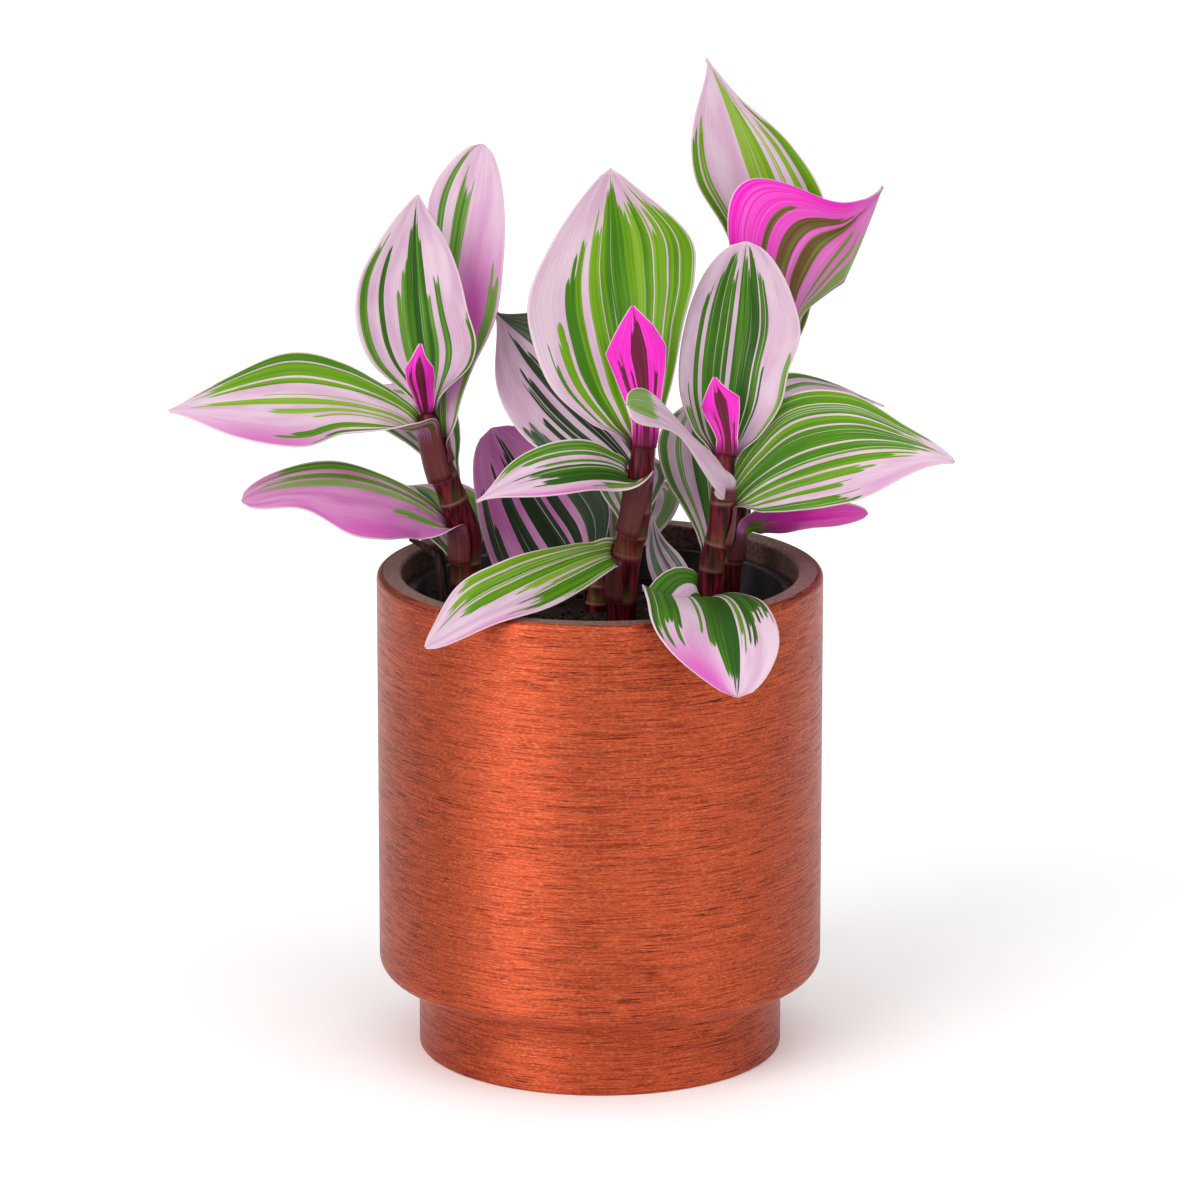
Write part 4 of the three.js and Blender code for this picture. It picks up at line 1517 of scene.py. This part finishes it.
def left_leaves() -> list[Leaf]:
    """Lists the left stem's leaves, from the front to the back.

    Returns:
        The leaves, not yet on their stems.
    """
    return [
        Leaf(
            "leaf_left_outer", "left", 178, 200, (-84, -10, 194), (-120, -14, 188), (0, -0.7, 0.7),
            [11, 10, 11, 19, 15], [4.8, 8, 12, 14, 9],
            striped(
                (-0.97, -0.89, 0.62, 0.8, -0.1), (-0.80, -0.62, 0.68, 0.65),
                (-0.38, -0.33, 0.58, 0.1, 0.15), (-0.26, -0.17, 0.68, 0.1, 0.15),
                (-0.08, 0.05, 0.97, 0.12, 0.1), (0.11, 0.14, 0.75, 0.1, 0.1), (0.36, 0.47, 0.88, 0.5),
                (0.52, 0.80, 0.93, 0.5), (0.83, 0.98, 0.92, 0.75),
                glows=(Glow(-1.0, 0.76, 0.42, 0.22, 0.8),), greens=Greens.FRESH,
            ),
            sheath=13, rise=9, blunt=2, fold=(0, 5), cup=(25, 30), clasp=(0.5, 0.25), grip=(116, 70),
            wrap=104,
        ),
        Leaf(
            "leaf_left_front", "left", 183, 80, (-55, 20, 221), (-51, 12, 244), (0.05, -1, 0.25),
            [7.5, 16, 19, 17, 10], [10, 18, 16, 14, 10],
            striped(
                (-0.93, -0.79, 0.83, 0.4), (-0.60, -0.51, 0.80, 0.6), (-0.31, -0.24, 0.64, 0.35),
                (-0.24, -0.15, 0.73, 0.3), (-0.15, -0.05, 0.86, 0.55), (-0.05, 0.05, 0.98, 0.95),
                (0.05, 0.14, 0.90, 0.5), (0.14, 0.20, 0.80, 0.7), (0.20, 0.27, 0.58, 0.3),
                (0.38, 0.50, 0.66, 0.45), (0.88, 0.98, 0.50, 0.6),
                ragged=0.07,
            ),
            sheath=3, blunt=3, cup=(40, 60), clasp=(0.2, 0.25), wrap=50,
        ),
        Leaf(
            "leaf_left_tall", "left", 173, 20, (-43, 30, 226), (-33, 36, 254), (-0.2, -1, 0.2),
            [4, 5, 6, 8.5, 12], [4, 8, 14, 14.5, 12.5],
            striped(
                (-0.95, -0.74, 0.33, 0.5), (-0.52, -0.30, 0.33, 0.6), (-0.72, -0.54, 1.0, 0.55, 0.5),
                (-0.28, 0.08, 0.90, 0.35), (0.74, 0.94, 0.64, 0.25),
                glows=(Glow(0.45, 0.48, 0.6, 0.26, 0.95),), ragged=0.09,
            ),
            sheath=4, blunt=9, cup=(20, 15), grip=55, wrap=70,
        ),
        Leaf(
            "leaf_left_low", "left", 151, 195, (-70, -6, 173), (-100, -14, 162), (0, -0.5, 0.85),
            [8, 11, 16, 16.5, 8.5], [4, 5, 7, 8.5, 8],
            striped(
                (-0.42, -0.22, 0.45, 0.15, -0.1), (0.02, 0.26, 0.90, 0.1, 0.2),
                (0.34, 0.55, 0.93, 0.3, 0.2), (0.68, 0.97, 0.93, 0.4),
                glows=(Glow(-0.9, 0.5, 0.55, 0.35, 0.8), Glow(-0.3, 0.5, 0.9, 0.5, 0.25)),
                pinks=Pinks.MAUVE,
            ),
            sheath=11, rise=4, blunt=8, fold=(-15, 0), cup=(10, 30), clasp=(0.3, 0.2), grip=(90, 60),
            wrap=90,
        ),
        Leaf(
            "leaf_left_rear", "left", 161, 75, (-52, 32, 186), (-80, 60, 176), (0, -0.3, 1),
            [3, 7, 12, 13, 8], [4, 8, 12, 13, 8],
            striped(*PLAIN_ROWS),
            sheath=3, rise=9, grip=35, wrap=40,
        ),
        Leaf(
            "leaf_left_rear_low", "left", 137, 95, (-47, 44, 156), (-57, 73, 145), (0, 0, 1),
            [5, 9, 12, 12, 8], [5, 9, 12, 12, 8],
            striped(*BROAD_ROWS, pinks=Pinks.MAUVE),
            sheath=3, rise=6, grip=50, wrap=50,
        ),
    ]


def middle_leaves() -> list[Leaf]:
    """Lists the middle stem's leaves.

    Returns:
        The leaves, not yet on their stems.
    """
    return [
        Leaf(
            "leaf_middle_tall", "middle", 176, 95, (4, 20, 215), (3, 4, 253), (-0.05, -1, 0.2),
            [14, 24, 28, 28, 19.5], [6, 11, 16.5, 23.5, 25],
            striped(
                (-0.85, -0.80, 0.47, 0.85, 0.12), (-0.73, -0.63, 0.56, 0.4), (-0.59, -0.48, 0.75, 0.8),
                (-0.48, -0.41, 0.84, 0.5), (-0.33, -0.21, 0.86, 0.5), (-0.20, -0.06, 0.93, 0.8),
                (-0.06, 0.09, 0.99, 0.95), (0.09, 0.20, 0.93, 0.62), (0.20, 0.31, 0.90, 0.35),
                (0.31, 0.42, 0.92, 0.75), (0.43, 0.60, 0.88, 0.45), (0.62, 0.76, 0.94, 0.55),
                (0.78, 0.98, 0.96, 0.5),
                greens=Greens.FRESH, neck=0.3,
            ),
            slot=Slot.GREEN, sheath=0, rise=14, blunt=7, cup=(35, 45), grip=50,
        ),
        Leaf(
            "leaf_middle_front", "middle", 168, 215, (-11, -34, 180), (-34, -38, 168),
            (-0.1, -0.6, 0.8),
            [12, 9, 9, 9, 6], [6, 8.5, 9.5, 9.5, 7],
            striped(
                (-0.90, -0.66, 0.50, 0.4), (-0.56, -0.10, 0.74, 0.85), (-0.10, 0.16, 0.80, 0.7),
                (0.24, 0.34, 0.72, 0.4), (0.50, 0.62, 0.82, 0.45), (0.66, 0.96, 0.92, 0.4),
                glows=(Glow(-1.0, 0.72, 0.22, 0.3, 0.95),),
            ),
            sheath=15, rise=5, fold=(-5, 0), cup=(10, 30), clasp=(0.4, 0.25), grip=(90, 40), wrap=70,
        ),
        Leaf(
            "leaf_middle_low", "middle", 146, 195, (-17, -52, 149.5), (-47.5, -70, 135),
            (0.1, -0.7, 0.7),
            [5, 6.5, 8, 8.5, 5], [5, 7, 9, 11, 12],
            striped(
                (-0.98, -0.86, 0.60, 0.5), (-0.84, -0.34, 0.72, 0.75), (-0.30, -0.16, 0.62, 0.5),
                (-0.06, 0.12, 0.66, 0.15), (0.14, 0.36, 0.84, 0.6), (0.40, 0.72, 0.90, 0.5),
                (0.78, 0.97, 0.88, 0.4),
                glows=(Glow(-1.0, 0.88, 0.22, 0.2, 0.8),), greens=Greens.FRESH,
            ),
            sheath=12, rise=2, blunt=5, cup=15, clasp=0.2, wrap=75,
        ),
        Leaf(
            "leaf_middle_striped", "middle", 166, 95, (-11, 20, 185), (-30, 26, 208), (0.1, -1, 0.3),
            [7, 14, 19, 19, 14], [7, 14, 20, 23, 21],
            striped(
                (-0.98, -0.74, 0.62, 0.3), (-0.62, -0.54, 0.66, 0.75), (-0.48, -0.30, 0.76, 0.75),
                (-0.20, 0.00, 0.90, 0.8), (0.10, 0.98, 1.1, 0.45),
                # darker, greyer greens, partly painted shade
                greens=Greens.PAINTED_SHADE,
            ),
            rise=10, cup=30, grip=45, wrap=45,
        ),
        Leaf(
            "leaf_middle_rear", "middle", 150, 75, (8, 22, 161), (7, 62, 162), (0, -0.3, 1),
            [4, 6, 9, 11, 8], [3, 4, 8, 11, 8],
            striped(*PLAIN_ROWS),
            sheath=3, rise=6, grip=50, wrap=40,
        ),
    ]


def right_leaves() -> list[Leaf]:
    """Lists the right stem's leaves.

    Returns:
        The leaves, not yet on their stems.
    """
    return [
        Leaf(
            "leaf_right_tall", "right", 172, 90, (39, 14, 205), (41, 6, 232), (0, -1, 0.2),
            [10, 15, 16.5, 16, 14.5], [9.5, 15, 16.5, 19.5, 16.5],
            striped(
                (-0.96, -0.80, 0.35, 0.25), (-0.72, -0.64, 0.78, 0.6), (-0.56, -0.14, 0.93, 0.62),
                (-0.05, 0.14, 0.97, 0.7), (0.14, 0.29, 0.95, 0.85), (0.32, 0.44, 0.90, 0.55),
                (0.47, 0.51, 0.50, 0.8), (0.88, 0.98, 0.62, 0.15, 0.05),
                neck=0.25,
            ),
            slot=Slot.GREEN, sheath=0, rise=14, blunt=12, cup=(35, 45), grip=50,
        ),
        Leaf(
            "leaf_right_outer", "right", 159, 25, (70, 1, 186.5), (99, -10, 172.5), (0.1, -0.85, 0.5),
            [6, 11, 17.5, 15, 6.5], [8, 13, 17, 18, 14],
            striped(
                (-0.98, -0.78, 0.88, 0.6), (-0.76, -0.60, 0.86, 0.7), (-0.56, -0.42, 0.90, 0.5),
                (-0.39, -0.08, 0.96, 0.8), (-0.05, 0.14, 0.92, 0.65), (0.20, 0.34, 0.84, 0.6),
                (0.38, 0.52, 0.74, 0.5), (0.60, 0.68, 0.63, 0.5), (0.80, 0.97, 0.66, 0.75),
                glows=(Glow(1.0, 0.8, 0.5, 0.25, 0.2),), greens=Greens.FRESH,
            ),
            slot=Slot.GREEN, sheath=10, rise=6, blunt=3, wrap=85,
        ),
        Leaf(
            "leaf_right_heart", "right", 133, -103, (38.6, -70.6, 155.3), (37.2, -77.7, 123),
            (0, -0.5, 1),
            [3.3, 6.7, 9.4, 11.3, 13.3], [17.3, 20.5, 23.2, 24.9, 25.3],
            striped(
                (-0.96, -0.50, 0.70, 0.8), (-0.50, -0.30, 0.80, 0.75), (-0.24, -0.12, 0.84, 0.5),
                (-0.08, 0.10, 0.95, 0.95), (0.10, 0.30, 0.90, 0.8), (0.34, 0.38, 0.76, 0.5, 0.2),
                (0.60, 0.98, 0.80, 0.65),
                glows=(Glow(0.8, 0.94, 0.5, 0.12, 0.95),), neck=0.08,
            ),
            sheath=4, rise=1.7, blunt=12, cup=(4, 37), grip=45, wrap=45,
        ),
        Leaf(
            "leaf_right_ribbon", "right", 165, -62, (22, -41.8, 190.3), (7.2, -55, 199.3),
            (-0.4, 0.5, -0.5),
            [2.5, 1.7, 2.4, 6, 10.3], [7.2, 8.6, 5.6, 1.6, 3.4],
            striped(
                (-1.0, 1.0, 0.16, 0.3), (-1.0, 0.3, 1.2, 0.1, 0.80),
                neck=0.12, under_share=0.0, ragged=0.04,
            ),
            sheath=3.5, rise=5.2, blunt=9.3, cup=(16, 8), clasp=0.12, grip=40, wrap=50,
        ),
        Leaf(
            "leaf_right_small", "right", 130, 150, (14, -1, 139), (15, -4, 155.5), (0.1, -1, 0.3),
            [3.5, 5, 6, 5, 3], [2.6, 4, 5, 5, 3],
            striped(
                (-0.7, -0.3, 0.9, 0.1), (0.0, 0.2, 1.0, 0.2), (0.5, 0.8, 0.9, 0.1),
                # darker, greyer greens, partly painted shade
                greens=Greens.PAINTED_SHADE,
            ),
            sheath=4, rise=4, cup=30, grip=45, wrap=60,
        ),
        Leaf(
            "leaf_right_rear", "right", 145, 100, (23, 22, 173), (32, 58, 178), (0, -0.3, 1),
            [4, 7, 11, 12, 8], [4, 6, 9, 11, 8],
            striped(*PLAIN_ROWS),
            sheath=3, rise=8, grip=50, wrap=50,
        ),
    ]


def back_leaves() -> list[Leaf]:
    """Lists the leaves of the two stems at the back.

    Returns:
        The leaves, not yet on their stems.
    """
    return [
        Leaf(
            "leaf_top_upright", "back_right", 196, 100, (44, 44, 256), (30, 38, 278), (-0.1, -1, 0.3),
            [7, 10, 13, 17.5, 13], [7, 12, 18, 13, 4],
            striped(
                (-0.98, -0.86, 0.78, 0.65, 0.05), (-0.83, -0.74, 0.82, 0.35, 0.05),
                (-0.12, 0.06, 0.95, 0.1), (0.07, 0.20, 0.95, 0.15), (0.20, 0.31, 0.90, 0.45),
                (0.40, 0.48, 0.86, 0.2), (0.60, 0.70, 0.72, 0.2), (0.78, 0.98, 0.80, 0.55),
                greens=Greens.FRESH,
            ),
            sheath=5, cup=30, grip=50, wrap=70,
        ),
        Leaf(
            "leaf_top_tipped", "back_right", 198, -118, (70, 10.6, 233), (81.8, 77.4, 233.4),
            (-0.7, 1, -0.15),
            [3, 9.3, 12.6, 15.4, 6], [12.4, 30, 34, 12, 4],
            striped(
                (-0.97, -0.86, 0.70, 0.7), (-0.80, -0.44, 0.80, 0.95), (-0.34, -0.24, 0.72, 0.85),
                (-0.12, -0.02, 0.76, 0.7), (0.10, 0.24, 0.80, 0.5), (0.30, 0.44, 0.72, 0.45),
                (0.56, 0.62, 0.50, 0.45),
                glows=(Glow(1.0, 0.5, 0.8, 1.2, 1.0), Glow(0.2, 0.8, 0.8, 0.4, 0.6)), neck=0.12,
            ),
            slot=Slot.MAGENTA, sheath=5, rise=19.4, cup=(58, 20), grip=50, wrap=70,
        ),
        Leaf(
            "leaf_right_under", "back_right", 145, -20, (57, 12, 150), (76, 14, 152), (0, 0.7, 0.7),
            [5, 7, 8, 8, 7], [5, 7, 8, 8, 7.5],
            striped(
                (-0.9, 0.5, 0.34, 0.75),
                glows=(Glow(0.0, 0.7, 2.0, 0.6, 1.0),), neck=0.1, ragged=0.25,
            ),
            slot=Slot.MAGENTA, sheath=8, rise=4, blunt=7,
        ),
        Leaf(
            "leaf_far_rear", "back_right", 172, 60, (62, 40, 186), (82, 62, 172), (0, -0.3, 1),
            [5, 9, 12, 13, 8], [5, 9, 12, 13, 8],
            striped(*PLAIN_ROWS),
            sheath=4, rise=8, grip=50, wrap=50,
        ),
        Leaf(
            "leaf_far_rear_low", "back_right", 152, 65, (52, 46, 163), (68, 76, 147), (0, 0, 1),
            [5, 9, 12, 12, 8], [5, 9, 12, 12, 8],
            striped(*BROAD_ROWS, pinks=Pinks.MAUVE),
            sheath=3, rise=6, grip=50, wrap=50,
        ),
        Leaf(
            "leaf_back_broad", "back", 129, 135, (-17, 22, 148), (-31, 34, 172), (0.2, -1, 0.4),
            [10, 18, 22, 20, 16], [3.4, 10.4, 17.5, 18, 17],
            striped(
                (-0.90, -0.72, 0.78, 0.8), (-0.50, -0.30, 0.84, 0.9), (-0.18, 0.12, 0.90, 1.0),
                (0.20, 0.36, 0.86, 0.95), (0.50, 0.98, 0.84, 0.6),
                glows=(Glow(0.9, 0.9, 0.5, 0.3, 0.7), Glow(-0.6, 0.9, 0.7, 0.4, 0.4)),
                # darker, greyer greens: painted shade for this blade, which lies in shadow behind the
                # stems
                greens=Greens.PAINTED_SHADE, pinks=Pinks.MAUVE, ragged=0.2,
            ),
            sheath=3, rise=3, blunt=13, cup=(25, 27), grip=(40, 34), wrap=40,
        ),
        Leaf(
            "leaf_back_rear", "back", 134, 10, (18, 42, 157), (6, 84, 145), (0, 0, 1),
            [3, 5.5, 11, 13, 8], [4, 9, 13, 13, 8],
            striped(*BROAD_ROWS),
            sheath=3, rise=5, grip=40, wrap=45,
        ),
    ]


def buds() -> list[Leaf]:
    """Lists the furled young leaves at the three tips.

    Returns:
        The buds, not yet on their stems.
    """
    return [
        Leaf(
            "bud_left", "left", 184, -100, (-51.5, -8, 197), (-50, -6, 205.5), (0, 1, 0),
            [3, 3.5, 4.5, 4.5, 2.2], [3, 3.5, 4.5, 4.5, 2.2],
            striped((-0.3, 0.25, 0.86, 0.1), (0.45, 0.7, 0.66, 0.2), neck=0.3, **BUD_LOOKS),
            rise=6, cup=50, grip=50, **BUD_FORM,
        ),
        Leaf(
            "bud_middle", "middle", 178, -85, (10, -16, 206), (9, -14, 218), (0, 1, 0),
            [4, 5, 7, 8.5, 5.5], [4, 6, 8, 10, 5.3],
            striped(
                (-0.66, -0.50, 0.50, 0.05), (-0.26, 0.20, 0.90, 0.0), (0.26, 0.34, 0.46, 0.1),
                (0.50, 0.68, 0.58, 0.0),
                neck=0.42, ragged=0.2, **BUD_LOOKS,
            ),
            rise=14, cup=40, **BUD_FORM,
        ),
        Leaf(
            "bud_right", "right", 174, -85, (32, -8, 188), (32, -6, 196), (0, 1, 0),
            [3, 4, 5.5, 6.5, 3.4], [3, 4, 5, 5.5, 2.8],
            striped(
                (-0.34, 0.18, 0.88, 0.0), (0.36, 0.50, 0.56, 0.1), (-0.7, -0.56, 0.45, 0.0),
                neck=0.42, ragged=0.2, **BUD_LOOKS,
            ),
            rise=10, cup=40, **BUD_FORM,
        ),
    ]


@dataclass
class Plant:
    """The whole plant: five stems with their leaves and buds."""

    stems: dict[str, Stem] = field(default_factory=stems)
    leaves: list[Leaf] = field(
        default_factory=lambda: [
            *left_leaves(), *middle_leaves(), *right_leaves(), *back_leaves(), *buds(),
        ]
    )

    def build(self, finish: bpy.types.Material) -> None:
        """Makes every stem, and then every leaf on its stem.

        Args:
            finish: The stems' material.
        """
        for name, stem in self.stems.items():
            stem.name = f"shoot_{name}"
            stem.build(f"stem_{name}", Slot.STEM, finish)
        for leaf in self.leaves:
            leaf.host = self.stems[leaf.stem]
            leaf.build()


# ---------------------------------------------------------------- studio


@dataclass(frozen=True)
class SoftLight:
    """A very soft light from far away.

    It has the direction to the light, its strength, and how wide it looks from the plant.
    """

    name: str
    way: Point
    strength: float
    spread_degrees: float

    def build(self) -> None:
        """Adds the light."""
        data = bpy.data.lights.new(self.name, "SUN")
        data.energy = self.strength
        data.angle = math.radians(self.spread_degrees)
        made = bpy.data.objects.new(self.name, data)
        made.rotation_euler = Vector(self.way).to_track_quat("Z", "Y").to_euler()
        bpy.context.scene.collection.objects.link(made)


@dataclass
class Studio:
    """Pale floor, soft lights and the camera at the photograph's angle."""

    camera_back: float = 1.850
    camera_height: float = 0.612
    tilt_degrees: float = 14.6
    lens: float = 203.1
    sensor: float = 36.0
    view_depth: float = 50.0
    floor_half: float = 12.0
    air_strength: float = 0.2
    lights: tuple[SoftLight, ...] = (
        SoftLight("sky_light", (0.0, -0.1, 1.0), 2.05, 120.0),
        SoftLight("left_light", (-0.66, -0.72, 0.40), 2.2, 46.0),
        SoftLight("right_light", (0.70, -0.70, 0.36), 1.45, 80.0),
    )

    def camera(self) -> None:
        """Makes the camera."""
        data = bpy.data.cameras.new("camera")
        data.lens = self.lens
        data.sensor_width = self.sensor
        data.clip_end = self.view_depth
        made = bpy.data.objects.new("camera", data)
        made.location = (0.0, -self.camera_back, self.camera_height)
        made.rotation_euler = (math.radians(90 - self.tilt_degrees), 0.0, 0.0)
        bpy.context.scene.collection.objects.link(made)
        bpy.context.scene.camera = made

    def floor(self, finish: bpy.types.Material) -> None:
        """Makes the floor.

        Args:
            finish: The floor's material.
        """
        h = self.floor_half
        corners = np.array([(-h, -h, 0.0), (h, -h, 0.0), (h, h, 0.0), (-h, h, 0.0)])
        ground = mesh_object("studio_floor", corners, [(0, 1, 2, 3)])
        ground.data.materials.append(finish)

    def air(self) -> None:
        """Lights the whole scene faintly from all round."""
        world = bpy.data.worlds.new("studio_air")
        world.use_nodes = True
        background = world.node_tree.nodes["Background"]
        background.inputs["Color"].default_value = (1.0, 1.0, 1.0, 1.0)
        background.inputs["Strength"].default_value = self.air_strength
        bpy.context.scene.world = world

    def build(self, finish: bpy.types.Material) -> None:
        """Sets up the whole studio.

        Args:
            finish: The floor's material.
        """
        self.camera()
        self.floor(finish)
        for light in self.lights:
            light.build()
        self.air()
        bpy.context.scene.view_settings.view_transform = "Standard"
        LOG.info("studio is set")


def main() -> None:
    """Builds every piece of the plant and its pot, and the studio round them."""
    logging.basicConfig(level=logging.INFO, format="%(name)s: %(message)s")
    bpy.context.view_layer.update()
    Studio().build(PaleFloor().material())
    Planter().build(BrushedCopper().material(), RimPaintedReflection().material())
    GrowPot().build(MouldedPlastic().material())
    Soil().build(BarkMix().material())
    DriedStalk().build(DriedSkin().material())
    Plant().build(StemSkin().material())


if __name__ == "__main__":
    main()
